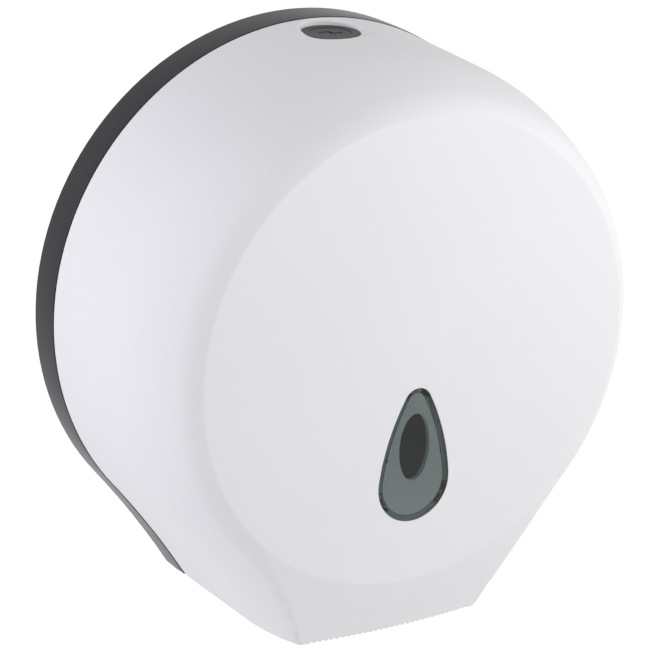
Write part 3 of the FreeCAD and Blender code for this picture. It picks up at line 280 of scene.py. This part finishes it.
def mix_colours(tree, share, first, second):
    mix = add_node(tree, "ShaderNodeMix", data_type="RGBA")
    tree.links.new(share, mix.inputs["Factor"])
    colours = [socket for socket in mix.inputs if socket.type == "RGBA"]
    tree.links.new(first, colours[0])
    colours[1].default_value = second
    return next(socket for socket in mix.outputs if socket.type == "RGBA")


# Materials

def moulded_plastic(name, colour, shade, roughness, grain, grain_depth, specular, edge):
    """Plastic with faint clouds in its colour, a fine mould grain and a painted highlight that lightens
    its edges.
    """
    material, tree, shader = new_material(name)
    place = object_place(tree)
    cloud = noise(tree, place, CLOUD_SCALE, detail=4.0)
    body = blend_colours(tree, cloud, times(colour, shade), colour)
    highlit = edge_highlight_share(tree, noise(tree, place, SCUFF_AND_HIGHLIGHT_SCALE, detail=4.0, roughness=0.6))
    # edges get a lighter colour: a painted highlight, broken into patches by noise
    tree.links.new(mix_colours(tree, highlit, body, times(colour, edge)), shader.inputs["Base Color"])
    flow = noise(tree, place, FLOW_SCALE, detail=3.0)
    gloss = spread(tree, flow, roughness - PLASTIC_GLOSS_SPREAD, roughness + PLASTIC_GLOSS_SPREAD)
    tree.links.new(gloss, shader.inputs["Roughness"])
    fine = noise(tree, place, grain, detail=2.0)
    tree.links.new(bump(tree, fine, GRAIN_STRENGTH, grain_depth), shader.inputs["Normal"])
    shader.inputs["Specular IOR Level"].default_value = specular
    return material


def smoked_lens():
    """Clear plastic that takes in light on its way through, with fine scuffs."""
    material, tree, shader = new_material("smoked_lens")
    place = object_place(tree)
    shader.inputs["Base Color"].default_value = WHITE
    shader.inputs["Transmission Weight"].default_value = 1.0
    shader.inputs["IOR"].default_value = LENS_REFRACTION
    wear = noise(tree, place, SCUFF_AND_HIGHLIGHT_SCALE, detail=4.0)
    tree.links.new(spread(tree, wear, *LENS_ROUGHNESS), shader.inputs["Roughness"])
    absorb = add_node(tree, "ShaderNodeVolumeAbsorption", {"Color": LENS_TINT, "Density": LENS_DENSITY})
    output = next(node for node in tree.nodes if node.type == "OUTPUT_MATERIAL")
    tree.links.new(absorb.outputs["Volume"], output.inputs["Volume"])
    return material


def plated_steel(name, colour, roughness, streak):
    """Metal with brush marks in its colour, gloss and relief."""
    material, tree, shader = new_material(name)
    shader.inputs["Metallic"].default_value = 1.0
    place = object_place(tree, streak)
    brush = noise(tree, place, BRUSH_SCALE, detail=5.0, roughness=0.6)
    body = blend_colours(tree, brush, times(colour, STEEL_SHADE), colour)
    tree.links.new(body, shader.inputs["Base Color"])
    gloss = spread(tree, brush, roughness - STEEL_GLOSS_SPREAD, roughness + STEEL_GLOSS_SPREAD)
    tree.links.new(gloss, shader.inputs["Roughness"])
    tree.links.new(bump(tree, brush, BRUSH_STRENGTH, BRUSH_DEPTH), shader.inputs["Normal"])
    return material


# name, colour, shade of its clouds, roughness, grain, grain depth in metres, gloss, painted edge
# highlight
PLASTICS = [
    ("cover_plastic", grey(0.83, (1.0, 0.998, 1.004)), 0.985, 0.50, 900.0, 0.00002, 0.15, 1.01),
    ("base_plastic", grey(0.035, (1.0, 0.99, 1.06)), 0.85, 0.30, 1400.0, 0.00002, 0.10, 1.6),
    ("lock_plastic", grey(0.05, (1.0, 1.0, 1.02)), 0.88, 0.52, 1600.0, 0.00004, 0.2, 1.5),
    ("plug_plastic", grey(0.055, (1.0, 1.0, 1.02)), 0.86, 0.55, 1600.0, 0.00004, 0.2, 1.5),
    ("post_plastic", grey(0.05, (1.0, 1.0, 1.03)), 0.85, 0.40, 1300.0, 0.00004, 0.5, 1.5),
    ("hub_plastic", grey(0.78), 0.97, 0.32, 900.0, 0.00002, 0.5, 1.03),
    ("washer_plastic", grey(0.68, (1.0, 0.985, 0.93)), 0.95, 0.40, 900.0, 0.00002, 0.5, 1.04),
]
# name, colour, roughness, stretch of its brush marks
STEELS = [
    ("plated_steel", (0.62, 0.63, 0.65, 1.0), 0.32, (1.0, 1.0, 0.12)),
    ("screw_steel", (0.58, 0.59, 0.61, 1.0), 0.28, (1.0, 1.0, 1.0)),
    ("pin_steel", (0.60, 0.60, 0.60, 1.0), 0.25, (0.1, 1.0, 1.0)),
]
MATERIALS = {"smoked_lens": smoked_lens()}
MATERIALS.update((row[0], moulded_plastic(*row)) for row in PLASTICS)
MATERIALS.update((row[0], plated_steel(*row)) for row in STEELS)


# Pieces

def to_scene(point):
    x, depth, z = point
    return Vector((x * MM, -depth * MM, z * MM))


def new_object(name, mesh):
    item = bpy.data.objects.new(name, mesh)
    bpy.context.scene.collection.objects.link(item)
    return item


def object_from(name, shape):
    mesh = bpy.data.meshes.new(name)
    shape.to_mesh(mesh)
    shape.free()
    return new_object(name, mesh)


def closed_object(name, shape):
    """An object from a mesh in the making: doubled points are merged, and all faces turned outwards."""
    bmesh.ops.remove_doubles(shape, verts=shape.verts, dist=SAME_POINT)
    bmesh.ops.recalc_face_normals(shape, faces=shape.faces)
    return object_from(name, shape)


def solid(name, points, faces):
    """A closed mesh from points of across, depth and height in millimetres."""
    shape = bmesh.new()
    corners = [shape.verts.new(to_scene(point)) for point in points]
    for face in faces:
        shape.faces.new([corners[index] for index in face])
    return closed_object(name, shape)


def combine(piece, tool, operation):
    """Adds a tool to a piece or cuts it out, and removes the tool."""
    change = piece.modifiers.new(operation.lower(), "BOOLEAN")
    change.operation = operation
    change.solver = "EXACT"
    change.object = tool
    graph = bpy.context.evaluated_depsgraph_get()
    mesh = bpy.data.meshes.new_from_object(piece.evaluated_get(graph))
    piece.modifiers.clear()
    piece.data = mesh
    bpy.data.objects.remove(tool)


def without_slivers(piece):
    """Removes the faces without area that cutting has left."""
    shape = bmesh.new()
    shape.from_mesh(piece.data)
    bmesh.ops.dissolve_degenerate(shape, dist=CAD_SAME_POINT, edges=shape.edges)
    shape.to_mesh(piece.data)
    shape.free()


def dress(piece, node, sharp=SHARP_ANGLE):
    """Shades a finished piece, and puts it in the place of its CAD node."""
    piece.data.shade_smooth()
    piece.data.set_sharp_from_angle(angle=math.radians(sharp))
    flat = piece.modifiers.new("flat_faces", "WEIGHTED_NORMAL")
    flat.keep_sharp = True
    piece.data.materials.clear()
    piece.data.materials.append(MATERIALS[SLOT_OF[node]])
    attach(piece, BODY_OF[node])
    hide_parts(node)


def make_softened(node, width, steps=2):
    """A copy of a CAD node with its sharp edges rounded, for a moulded or turned look."""
    shape = bmesh.new()
    shape.from_mesh(NODES[node].data)
    bmesh.ops.remove_doubles(shape, verts=shape.verts, dist=CAD_SAME_POINT)
    bmesh.ops.dissolve_limit(shape, angle_limit=math.radians(FLAT_ANGLE), verts=shape.verts,
                             edges=shape.edges, delimit={"NORMAL"})
    edges = [edge for edge in shape.edges if edge.calc_face_angle(0.0) > math.radians(SHARP_ANGLE)]
    bmesh.ops.bevel(shape, geom=edges, offset=width * MM, offset_type="OFFSET", segments=steps,
                    profile=0.5, affect="EDGES", clamp_overlap=False)
    dress(object_from(node + "_piece", shape), node)


def rounded(corners, steps=4):
    """A closed line through the corners; a corner's third number is the radius that rounds it."""
    line = []
    for index, corner in enumerate(corners):
        here = Vector(corner[:2])
        if len(corner) < 3:
            line.append(here)
            continue
        before = (Vector(corners[index - 1][:2]) - here).normalized()
        after = (Vector(corners[(index + 1) % len(corners)][:2]) - here).normalized()
        half = before.angle(after) / 2
        centre = here + (before + after).normalized() * corner[2] / math.sin(half)
        start = here + before * corner[2] / math.tan(half) - centre
        end = here + after * corner[2] / math.tan(half) - centre
        for step in range(steps + 1):
            line.append(centre + start.lerp(end, step / steps).normalized() * corner[2])
    return line


def turned(section, place, turns=72):
    """Points and faces of a solid turned from a section of radius and height."""
    angles = [2 * math.pi * turn / turns for turn in range(turns)]
    points = [place(radius * math.cos(angle), radius * math.sin(angle), height)
              for radius, height in section for angle in angles]
    faces = []
    for row in range(len(section)):
        following = (row + 1) % len(section)
        for turn in range(turns):
            after = (turn + 1) % turns
            faces.append((row * turns + turn, row * turns + after,
                          following * turns + after, following * turns + turn))
    return points, faces


def block(across, depths, heights):
    """Points and faces of a block between pairs of across, depth and height."""
    points = [(x, depth, z) for x in across for depth in depths for z in heights]
    faces = [(0, 1, 3, 2), (4, 6, 7, 5), (0, 4, 5, 1), (2, 3, 7, 6), (0, 2, 6, 4), (1, 5, 7, 3)]
    return points, faces


def joined(name, shapes):
    """One object from several separate solids."""
    points, faces = [], []
    for shape_points, shape_faces in shapes:
        start = len(points)
        points += shape_points
        faces += [tuple(start + index for index in face) for face in shape_faces]
    return solid(name, points, faces)


def mixed(first, second, share):
    return first + (second - first) * share


def smooth_step(value, start, end):
    share = min(max((value - start) / (end - start), 0.0), 1.0)
    return share * share * (3 - 2 * share)


def upright_at_lock(u, v, height):
    return (u, LOCK_DEPTH + v, height)


# Front cover

def soft_least(first, second, blend):
    """The smaller of two depths, with the corner between them rounded."""
    overlap = max(blend - abs(first - second), 0.0)
    return min(first, second) - overlap * overlap / (4 * blend)


def below_round(x, z):
    """How far a point lies past the line where the round runs into the hollow side."""
    return -abs(x) * SIDE_SIN - z * SIDE_COS


def side_offset(x, z):
    """Size of the outline whose hollow side passes through a point."""
    return SIDE_AXIS - math.hypot(AXIS_ACROSS - abs(x), AXIS_DROP + z)


class Shell:
    """One side of the cover's wall: the outside, or the inside when it is drawn in by the wall."""

    def __init__(self, inset):
        self.front = OVERALL_DEPTH - inset
        # the notches between the teeth are in the outer surface only
        self.notch = 0.0 if inset else TOOTH_HEIGHT
        self.rim = COVER_RADIUS - inset
        self.radius = self.rim - SIDE_DRAFT
        self.bow, self.nose = BOW_RADIUS - inset, NOSE_RADIUS - inset
        self.bow_centre = Vector((self.radius - self.bow * math.cos(SIDE_LEAN),
                                  SHOULDER_START - self.bow * math.sin(SIDE_LEAN)))
        self.crease = Vector((DISC_RADIUS - inset, self.front))
        reach = self.crease - self.bow_centre
        between = self.bow - self.nose
        along = (between ** 2 - self.nose ** 2 + reach.length_squared) / (2 * reach.length)
        aside = math.sqrt(between ** 2 - along ** 2)
        forward = reach.normalized()
        self.nose_centre = self.bow_centre + forward * along + Vector((forward.y, -forward.x)) * aside
        meeting = self.nose_centre - self.bow_centre
        self.meeting_turn = math.atan2(meeting.y, meeting.x)
        ending = self.crease - self.nose_centre
        self.ending_turn = math.atan2(ending.y, ending.x)
        self.meeting = self.bow_centre.x + self.bow * math.cos(self.meeting_turn)
        self.disc = DISC_RADIUS - inset - 4 * DISC_EDGE_BLEND

    def shoulder(self, offset):
        """Depth of the rounded shoulder, and of its line carried on over the disc."""
        if offset >= self.meeting:
            across = min(offset - self.bow_centre.x, self.bow)
            return self.bow_centre.y + math.sqrt(self.bow ** 2 - across ** 2)
        if offset >= self.crease.x:
            return self.nose_centre.y + math.sqrt(self.nose ** 2 - (offset - self.nose_centre.x) ** 2)
        return self.front + (self.crease.x - offset) / math.tan(self.ending_turn)

    def depth(self, x, z):
        """Depth of the front at a point inside the outline."""
        radius = math.hypot(x, z)
        run = below_round(x, z)
        offset = side_offset(x, z) if run > 0 else radius
        lip = self.front - LIP_SLOPE * (radius - SLOPE_START)
        corner = min(max(run / LIP_CORNER_RUN, 0.0), 1.0)
        corner *= min(max((radius - SLOPE_START) / LIP_CORNER_RUN, 0.0), 1.0)
        blended = soft_least(self.shoulder(offset), lip, DISC_EDGE_BLEND + LIP_CORNER_BLEND * corner)
        return soft_least(blended, self.front, DISC_EDGE_BLEND)

    def side_at(self, z, offset=None):
        """How far out the hollow side is at a height."""
        reach = SIDE_AXIS - (offset or self.radius)
        return AXIS_ACROSS - math.sqrt(reach ** 2 - (AXIS_DROP + z) ** 2)

    def ring_shares(self):
        """Steps from the outline, 0, to the disc, 1, close together where the section bends."""
        insets = []
        for step in range(BOW_STEPS):
            turn = SIDE_LEAN + (self.meeting_turn - SIDE_LEAN) * step / BOW_STEPS
            insets.append(self.bow * (math.cos(SIDE_LEAN) - math.cos(turn)))
        for step in range(NOSE_STEPS):
            turn = self.meeting_turn + (self.ending_turn - self.meeting_turn) * step / NOSE_STEPS
            insets.append(self.radius - self.nose_centre.x - self.nose * math.cos(turn))
        last = self.radius - self.disc
        edge = self.radius - self.crease.x
        insets += [edge + step * DISC_EDGE_BLEND for step in CREASE_STEPS]
        insets.append(last)
        return [inset / last for inset in sorted(insets)]


def side_heights():
    """Heights along a hollow side, close together where the hinge rounds the back corner."""
    heights = []
    for step in range(1, SIDE_STEPS + 1):
        heights.append(SIDE_TOP + (-HINGE_DROP - SIDE_TOP) * step / SIDE_STEPS)
    for turn in CORNER_TURNS:
        heights.append(-HINGE_DROP - HINGE_LUG_RADIUS * math.sin(math.radians(turn)))
    return heights


def side_ends(shell):
    """Points of the outline down the right side."""
    start = -shell.radius * SIDE_SIN
    ends = []
    for height in side_heights():
        level = start + (-BOTTOM_DROP - start) * (height - SIDE_TOP) / (-BOTTOM_DROP - SIDE_TOP)
        ends.append((shell.side_at(level), level, True))
    return ends


def bottom_ends(shell):
    """Points of the outline from the right side along the teeth to the middle."""
    ends = []
    last_offset = side_offset(TEETH_END + TOOTH_MARGIN, -BOTTOM_DROP)
    last_turn = math.acos((last_offset - shell.bow_centre.x) / shell.bow)
    for step in range(1, BOTTOM_STEPS + 1):
        turn = SIDE_LEAN + (last_turn - SIDE_LEAN) * step / BOTTOM_STEPS
        offset = shell.bow_centre.x + shell.bow * math.cos(turn)
        ends.append((shell.side_at(-BOTTOM_DROP, offset), -BOTTOM_DROP, False))
    for index in reversed(range(TOOTH_COUNT)):
        middle = (index - (TOOTH_COUNT - 1) / 2) * TOOTH_PITCH
        if middle > 0:
            ends += [(middle + TOOTH_HEIGHT, -BOTTOM_DROP, False),
                     (middle, shell.notch - BOTTOM_DROP, False),
                     (middle - TOOTH_HEIGHT, -BOTTOM_DROP, False)]
    return ends


def outline_ends(shell):
    """Points of the outline, from the right end of the round over the bottom and back up to it.

    Each has its place across, its height, and whether the cover's side stands behind it."""
    half = side_ends(shell) + bottom_ends(shell)
    left = [(-x, z, wall) for x, z, wall in reversed(half)]
    over = []
    for step in range(ROUND_STEPS + 1):
        angle = math.pi + SIDE_ANGLE - (math.pi + 2 * SIDE_ANGLE) * step / ROUND_STEPS
        over.append((shell.radius * math.cos(angle), shell.radius * math.sin(angle), True))
    return half + left + over


def front_points(shell, end, shares):
    """Points from the disc's edge out to the outline."""
    x, z = end[:2]
    radius = math.hypot(x, z)
    points = []
    for share in reversed(shares):
        size = 1 - share * (1 - shell.disc / radius)
        points.append((x * size, shell.depth(x * size, z * size), z * size))
    return points


def back_depth(z):
    """The back edge of the side rises round the hinge at its lower end."""
    if z >= -HINGE_DROP:
        return COVER_BACK
    return HINGE_DEPTH - math.sqrt(max(HINGE_LUG_RADIUS ** 2 - (z + HINGE_DROP) ** 2, 0.0))


def wall_points(end, outward, back):
    """Points down the drafted side from the shoulder to the back rim, which has a rounded edge."""
    x, z = end[:2]
    push = Vector((x, z)).normalized()
    if below_round(x, z) > 0:
        across, down = AXIS_ACROSS - abs(x), AXIS_DROP + z
        push = Vector((math.copysign(math.hypot(across, down) / across, x), 0.0))

    def at(depth, shift):
        out = SIDE_SLOPE * (SHOULDER_START - depth) + shift
        return (x + push.x * out, depth, z + push.y * out)

    points = [at(back + (SHOULDER_START - back) * share, 0.0) for share in WALL_SHARES]
    for turn in RIM_TURNS:
        shift = -outward * RIM_ROUND * (1 - math.cos(math.radians(turn)))
        points.append(at(back + RIM_ROUND * (1 - math.sin(math.radians(turn))), shift))
    return points


def teardrop(grow):
    """Window outline, grown on all sides: a lower round, an upper round and bowed sides."""
    big, small, bow = BIG_ROUND + grow, SMALL_ROUND + grow, WINDOW_BOW + grow
    rise = BIG_DROP - SMALL_DROP
    along = ((bow - big) ** 2 - (bow - small) ** 2 + rise ** 2) / (2 * rise)
    across = math.sqrt((bow - big) ** 2 - along ** 2)
    low_turn, high_turn = math.atan2(-along, across), math.atan2(rise - along, across)
    middle = along - BIG_DROP
    # centre, radius, first and last turn, steps
    arcs = [
        ((0.0, -BIG_DROP), big, math.pi - low_turn, 2 * math.pi + low_turn, 30),
        ((-across, middle), bow, low_turn, high_turn, 18),
        ((0.0, -SMALL_DROP), small, high_turn, math.pi - high_turn, 16),
        ((across, middle), bow, math.pi - high_turn, math.pi - low_turn, 18),
    ]
    points = []
    for (x, z), radius, start, end, steps in arcs:
        for step in range(steps):
            angle = start + (end - start) * step / steps
            points.append((x + radius * math.cos(angle), z + radius * math.sin(angle)))
    return points


def view_oval():
    """Oval view hole, with a point for each point of the window's outline."""
    points = []
    for x, z in teardrop(-ISLAND_INSET):
        angle = math.atan2((z + VIEW_DROP) / VIEW_HALF_HEIGHT, x / VIEW_HALF_WIDTH)
        across, up = VIEW_HALF_WIDTH * math.cos(angle), VIEW_HALF_HEIGHT * math.sin(angle)
        points.append((across, up - VIEW_DROP))
    return points


def window_rings():
    """Lines down the window's edge, over the raised field, through the view hole and up the frame."""
    groove = OVERALL_DEPTH - WINDOW_DEPTH
    return [
        (teardrop(WINDOW_EDGE), OVERALL_DEPTH),
        (teardrop(WINDOW_EDGE_MIDDLE), OVERALL_DEPTH - WINDOW_EDGE_MIDDLE),
        (teardrop(0.0), OVERALL_DEPTH - WINDOW_EDGE),
        (teardrop(0.0), groove),
        (teardrop(-ISLAND_INSET), groove),
        (teardrop(-ISLAND_INSET), ISLAND_FRONT - WINDOW_EDGE),
        (teardrop(-ISLAND_INSET - WINDOW_EDGE), ISLAND_FRONT),
        (view_oval(), ISLAND_FRONT),
        (view_oval(), WINDOW_BACK),
        (teardrop(WINDOW_FRAME - FRAME_EDGE), WINDOW_BACK),
        (teardrop(WINDOW_FRAME), WINDOW_BACK + FRAME_EDGE),
        (teardrop(WINDOW_FRAME), OVERALL_DEPTH - COVER_WALL),
    ]


def cover_columns(shape, outside, inside):
    """Rows of corners from the disc over the outside, round the rim and back along the inside.

    Each comes with the number of its points down one face of the side."""
    outer_shares, inner_shares = outside.ring_shares(), inside.ring_shares()
    columns = []
    for end, inner_end in zip(outline_ends(outside), outline_ends(inside)):
        walls = []
        if end[2]:
            back = back_depth(end[1])
            walls = wall_points(end, 1, back) + wall_points(inner_end, -1, back)[::-1]
        points = front_points(outside, end, outer_shares) + walls
        points += front_points(inside, inner_end, inner_shares)[::-1]
        columns.append(([shape.verts.new(to_scene(point)) for point in points], len(walls) // 2))
    return columns


def lip_steps(rings, inner, other_inner):
    """Steps along two columns where the side ends: the outside, the inside and the edge between them."""
    steps = [(ring, ring + 1, ring, ring + 1) for ring in range(rings - 1)]
    for ring in range(rings - 1):
        steps.append((inner + ring, inner + ring + 1, other_inner + ring, other_inner + ring + 1))
    steps.append((rings - 1, inner, rings - 1, other_inner))
    return steps


def close_side(shape, column, count, rings):
    """Faces that close the end of the side, between its outer and its inner points."""
    for step in range(count):
        out, back = rings - 1 + step, rings + 2 * count - step
        shape.faces.new((column[out], column[out + 1], column[back - 1], column[back]))


def join_columns(shape, columns, rings):
    """Faces between each column and the next."""
    for (first, first_wall), (second, second_wall) in zip(columns, columns[1:] + columns[:1]):
        if first_wall and second_wall:
            steps = [(index, index + 1, index, index + 1) for index in range(len(first) - 1)]
        else:
            steps = lip_steps(rings, rings + 2 * first_wall, rings + 2 * second_wall)
            close_side(shape, first if first_wall else second, first_wall or second_wall, rings)
        for low, high, other_low, other_high in steps:
            shape.faces.new((first[low], first[high], second[other_high], second[other_low]))


def window_loops(shape):
    """Faces of the window's edge, field and frame; gives its first and last line."""
    loops = []
    for line, depth in window_rings():
        loops.append([shape.verts.new(to_scene((x, depth, z))) for x, z in line])
    for line, following in zip(loops, loops[1:]):
        for index in range(len(line)):
            after = (index + 1) % len(line)
            shape.faces.new((line[index], line[after], following[after], following[index]))
    return loops[0], loops[-1]


def fill_disc(shape, rim, hole):
    """Flat face between the edge of the disc and the window."""
    edges = []
    for ring in (rim, hole):
        for pair in zip(ring, ring[1:] + ring[:1]):
            edges.append(shape.edges.get(pair) or shape.edges.new(pair))
    bmesh.ops.triangle_fill(shape, use_beauty=True, edges=edges)


def make_front_cover():
    outside, inside = Shell(0.0), Shell(COVER_WALL)
    shape = bmesh.new()
    columns = cover_columns(shape, outside, inside)
    join_columns(shape, columns, len(outside.ring_shares()))
    front_line, back_line = window_loops(shape)
    fill_disc(shape, [column[0] for column, walls in columns], front_line)
    fill_disc(shape, [column[-1] for column, walls in columns], back_line)
    cover = closed_object("front_cover_piece", shape)
    combine(cover, joined("cover_bosses", [lock_boss(), hinge_lug(1), hinge_lug(-1)]), "UNION")
    cuts = [lock_hole(), pin_hole(1), pin_hole(-1), clip_notch(1), clip_notch(-1)]
    cuts += [hook_slot(BIG_ROUND - HOOK_INSET, BIG_DROP, *ends) for ends in LOW_SLOTS]
    cuts += [hook_slot(SMALL_ROUND - HOOK_INSET, SMALL_DROP, *ends) for ends in HIGH_SLOTS]
    combine(cover, joined("cover_holes", cuts), "DIFFERENCE")
    without_slivers(cover)
    dress(cover, "front_cover", COVER_SHARP_ANGLE)


def lock_boss():
    """Boss under the lock, which ends inside the cover's wall."""
    section = rounded([(0.0, LOCK_BOSS_UNDER), (LOCK_BOSS_RADIUS, LOCK_BOSS_UNDER, BOSS_EDGE),
                       (LOCK_BOSS_RADIUS, LOCK_BOSS_TOP), (0.0, LOCK_BOSS_TOP)])
    return turned(section, upright_at_lock)


def lock_hole():
    """Hole and recess of the lock; the rim follows the round side, and runs out gently to the front.

    A row of its section is a height, or with a turn a place on the rounded rim and a rise over it."""
    def place(u, v, row):
        level, turn = row
        if turn is None:
            return upright_at_lock(u, v, level)
        front = smooth_step(v / LOCK_SEAT_RADIUS, RECESS_FRONT_FROM, RECESS_FRONT_TO)
        straight, turn = turn / 90, math.radians(turn)
        out = RECESS_ROUND + RECESS_FRONT_RUN * front
        out *= mixed(1 - math.cos(turn), straight, front)
        sink = RECESS_ROUND + RECESS_FRONT_SINK * front
        sink *= mixed(1 - math.sin(turn), 1 - straight, front)
        size = 1 + out / LOCK_SEAT_RADIUS
        u, v = u * size, v * size
        side = COVER_RADIUS - SIDE_SLOPE * (LOCK_DEPTH + v - COVER_BACK)
        return upright_at_lock(u, v, math.sqrt(side ** 2 - u ** 2) - sink + level)

    under, over = LOCK_BOSS_UNDER - LOCK_CUT_SPARE, COVER_RADIUS + LOCK_CUT_SPARE
    section = [(0.0, (under, None)), (LOCK_HOLE_RADIUS, (under, None)),
               (LOCK_HOLE_RADIUS, (LOCK_SEAT, None)), (LOCK_SEAT_RADIUS, (LOCK_SEAT, None))]
    section += [(LOCK_SEAT_RADIUS, (0.0, turn)) for turn in RECESS_TURNS]
    section += [(LOCK_SEAT_RADIUS, (RECESS_RIM_RISE, 90)), (LOCK_SEAT_RADIUS, (LOCK_CUT_SPARE, 90)),
                (0.0, (over, None))]
    return turned(section, place)


def hinge_lug(side):
    """Lug from its inner end into the middle of the sloping wall."""
    middle = Shell(COVER_WALL / 2)

    def place(u, v, share):
        z = -HINGE_DROP + v
        across = LUG_INNER + (middle.side_at(z, middle.rim) - LUG_INNER) * share
        return (side * across, HINGE_DEPTH + u, z)

    radius = HINGE_LUG_RADIUS - LUG_GAP
    middle_share, edge_end = LUG_EDGE_SHARES
    section = [(0.0, 0.0), (radius - LUG_EDGE, 0.0), (radius - LUG_EDGE_MIDDLE, middle_share),
               (radius, edge_end), (radius, 1.0), (0.0, 1.0)]
    return turned(section, place, turns=40)


def pin_hole(side):
    """Blind hole for the hinge pin, from the lug's inner end."""
    def place(u, v, across):
        return (side * across, HINGE_DEPTH + u, -HINGE_DROP + v)

    start, end = LUG_INNER - CUT_SPARE, LUG_INNER + PIN_HOLE_LENGTH
    section = [(0.0, start), (PIN_HOLE_RADIUS, start), (PIN_HOLE_RADIUS, end), (0.0, end)]
    return turned(section, place, turns=32)


def hook_slot(ring, drop, start, end, steps=10):
    """Curved slot in the groove round the raised field, where the hooks of the lens go through."""
    points = []
    for step in range(steps + 1):
        angle = math.radians(start + (end - start) * step / steps)
        for radius in (ring - SLOT_INWARD, ring + SLOT_OUTWARD):
            for depth in (WINDOW_BACK - CUT_SPARE, ISLAND_FRONT - ISLAND_SPARE):
                points.append((radius * math.cos(angle), depth, radius * math.sin(angle) - drop))
    loop = (0, 1, 3, 2)
    faces = [loop, tuple(4 * steps + corner for corner in loop)]
    for row in range(0, 4 * steps, 4):
        for corner, following in zip(loop, loop[1:] + loop[:1]):
            faces.append((row + corner, row + following, row + 4 + following, row + 4 + corner))
    return points, faces


def clip_notch(side):
    """Small notch in the side of the raised field behind the lens."""
    middle = side * CLIP_ACROSS
    return block((middle - CLIP_HALF_WIDTH, middle + CLIP_HALF_WIDTH),
                 (WINDOW_BACK - CUT_SPARE, ISLAND_FRONT + ISLAND_SPARE),
                 (-CLIP_DROP - CLIP_HALF_HEIGHT, -CLIP_DROP + CLIP_HALF_HEIGHT))


# Studio

def seen_share(tree):
    """One for rays that show a background: camera, glossy and transmission rays."""
    path = add_node(tree, "ShaderNodeLightPath")
    first = add_node(tree, "ShaderNodeMath", operation="MAXIMUM")
    tree.links.new(path.outputs["Is Camera Ray"], first.inputs[0])
    tree.links.new(path.outputs["Is Glossy Ray"], first.inputs[1])
    second = add_node(tree, "ShaderNodeMath", operation="MAXIMUM")
    tree.links.new(first.outputs["Value"], second.inputs[0])
    tree.links.new(path.outputs["Is Transmission Ray"], second.inputs[1])
    return second.outputs["Value"]


def make_world():
    """Even light on the object, and plain white where the background itself is seen."""
    world = bpy.data.worlds.new("studio")
    world.use_nodes = True
    tree = world.node_tree
    tree.nodes.clear()
    soft = add_node(tree, "ShaderNodeBackground",
                    {"Color": AMBIENT_COLOUR, "Strength": AMBIENT_STRENGTH})
    white = add_node(tree, "ShaderNodeBackground", {"Color": WHITE, "Strength": 1.0})
    mix = add_node(tree, "ShaderNodeMixShader")
    output = add_node(tree, "ShaderNodeOutputWorld")
    tree.links.new(seen_share(tree), mix.inputs["Fac"])
    tree.links.new(soft.outputs["Background"], mix.inputs[1])
    tree.links.new(white.outputs["Background"], mix.inputs[2])
    tree.links.new(mix.outputs["Shader"], output.inputs["Surface"])
    bpy.context.scene.world = world


def make_floor():
    mesh = bpy.data.meshes.new("studio_floor")
    half, level = FLOOR_HALF_SIZE, FLOOR_LEVEL
    corners = [(-half, -half, level), (half, -half, level), (half, half, level), (-half, half, level)]
    mesh.from_pydata(corners, [], [(0, 1, 2, 3)])
    floor = new_object("studio_floor", mesh)
    material, tree, shader = new_material("floor_paper")
    shader.inputs["Base Color"].default_value = FLOOR_COLOUR
    shader.inputs["Roughness"].default_value = FLOOR_ROUGHNESS
    shader.inputs["Specular IOR Level"].default_value = 0.0
    shader.inputs["Emission Color"].default_value = WHITE
    lift = spread(tree, seen_share(tree), 0.0, FLOOR_LIFT)
    tree.links.new(lift, shader.inputs["Emission Strength"])
    mesh.materials.append(material)


def from_angles(azimuth, elevation):
    """Direction from the object; an azimuth of 0 is straight in front of it."""
    azimuth, elevation = math.radians(azimuth), math.radians(elevation)
    level = math.cos(elevation)
    return Vector((math.sin(azimuth) * level, -math.cos(azimuth) * level, math.sin(elevation)))


def make_lights():
    for name, azimuth, elevation, distance, side, power, colour in SOFT_BOXES:
        lamp = bpy.data.lights.new(name, "AREA")
        lamp.color = colour
        lamp.shape = "SQUARE"
        lamp.size = side
        lamp.energy = power
        item = new_object(name, lamp)
        towards = from_angles(azimuth, elevation)
        item.location = CAMERA_AIM + towards * distance
        item.rotation_euler = (-towards).to_track_quat("-Z", "Y").to_euler()


def make_camera():
    back = from_angles(CAMERA_AZIMUTH, CAMERA_ELEVATION)
    level_right = (-back).cross(Vector((0.0, 0.0, 1.0))).normalized()
    level_up = back.cross(level_right)
    roll = math.radians(CAMERA_ROLL)
    right = level_right * math.cos(roll) + level_up * math.sin(roll)
    up = level_up * math.cos(roll) - level_right * math.sin(roll)
    place = CAMERA_AIM + right * CAMERA_PAN[0] + up * CAMERA_PAN[1] + back * CAMERA_DISTANCE
    lens = bpy.data.cameras.new("camera")
    lens.lens = CAMERA_LENS
    lens.sensor_width = CAMERA_SENSOR
    camera = new_object("camera", lens)
    turn = Matrix((right, up, back)).transposed().to_4x4()
    camera.matrix_world = Matrix.Translation(place) @ turn
    bpy.context.scene.camera = camera


make_front_cover()
for node in NODES:
    if node != "front_cover":
        make_softened(node, LENS_EDGE_ROUND if node == "window_lens" else EDGE_ROUND)
make_world()
make_floor()
make_lights()
make_camera()
bpy.context.scene.view_settings.view_transform = "Standard"
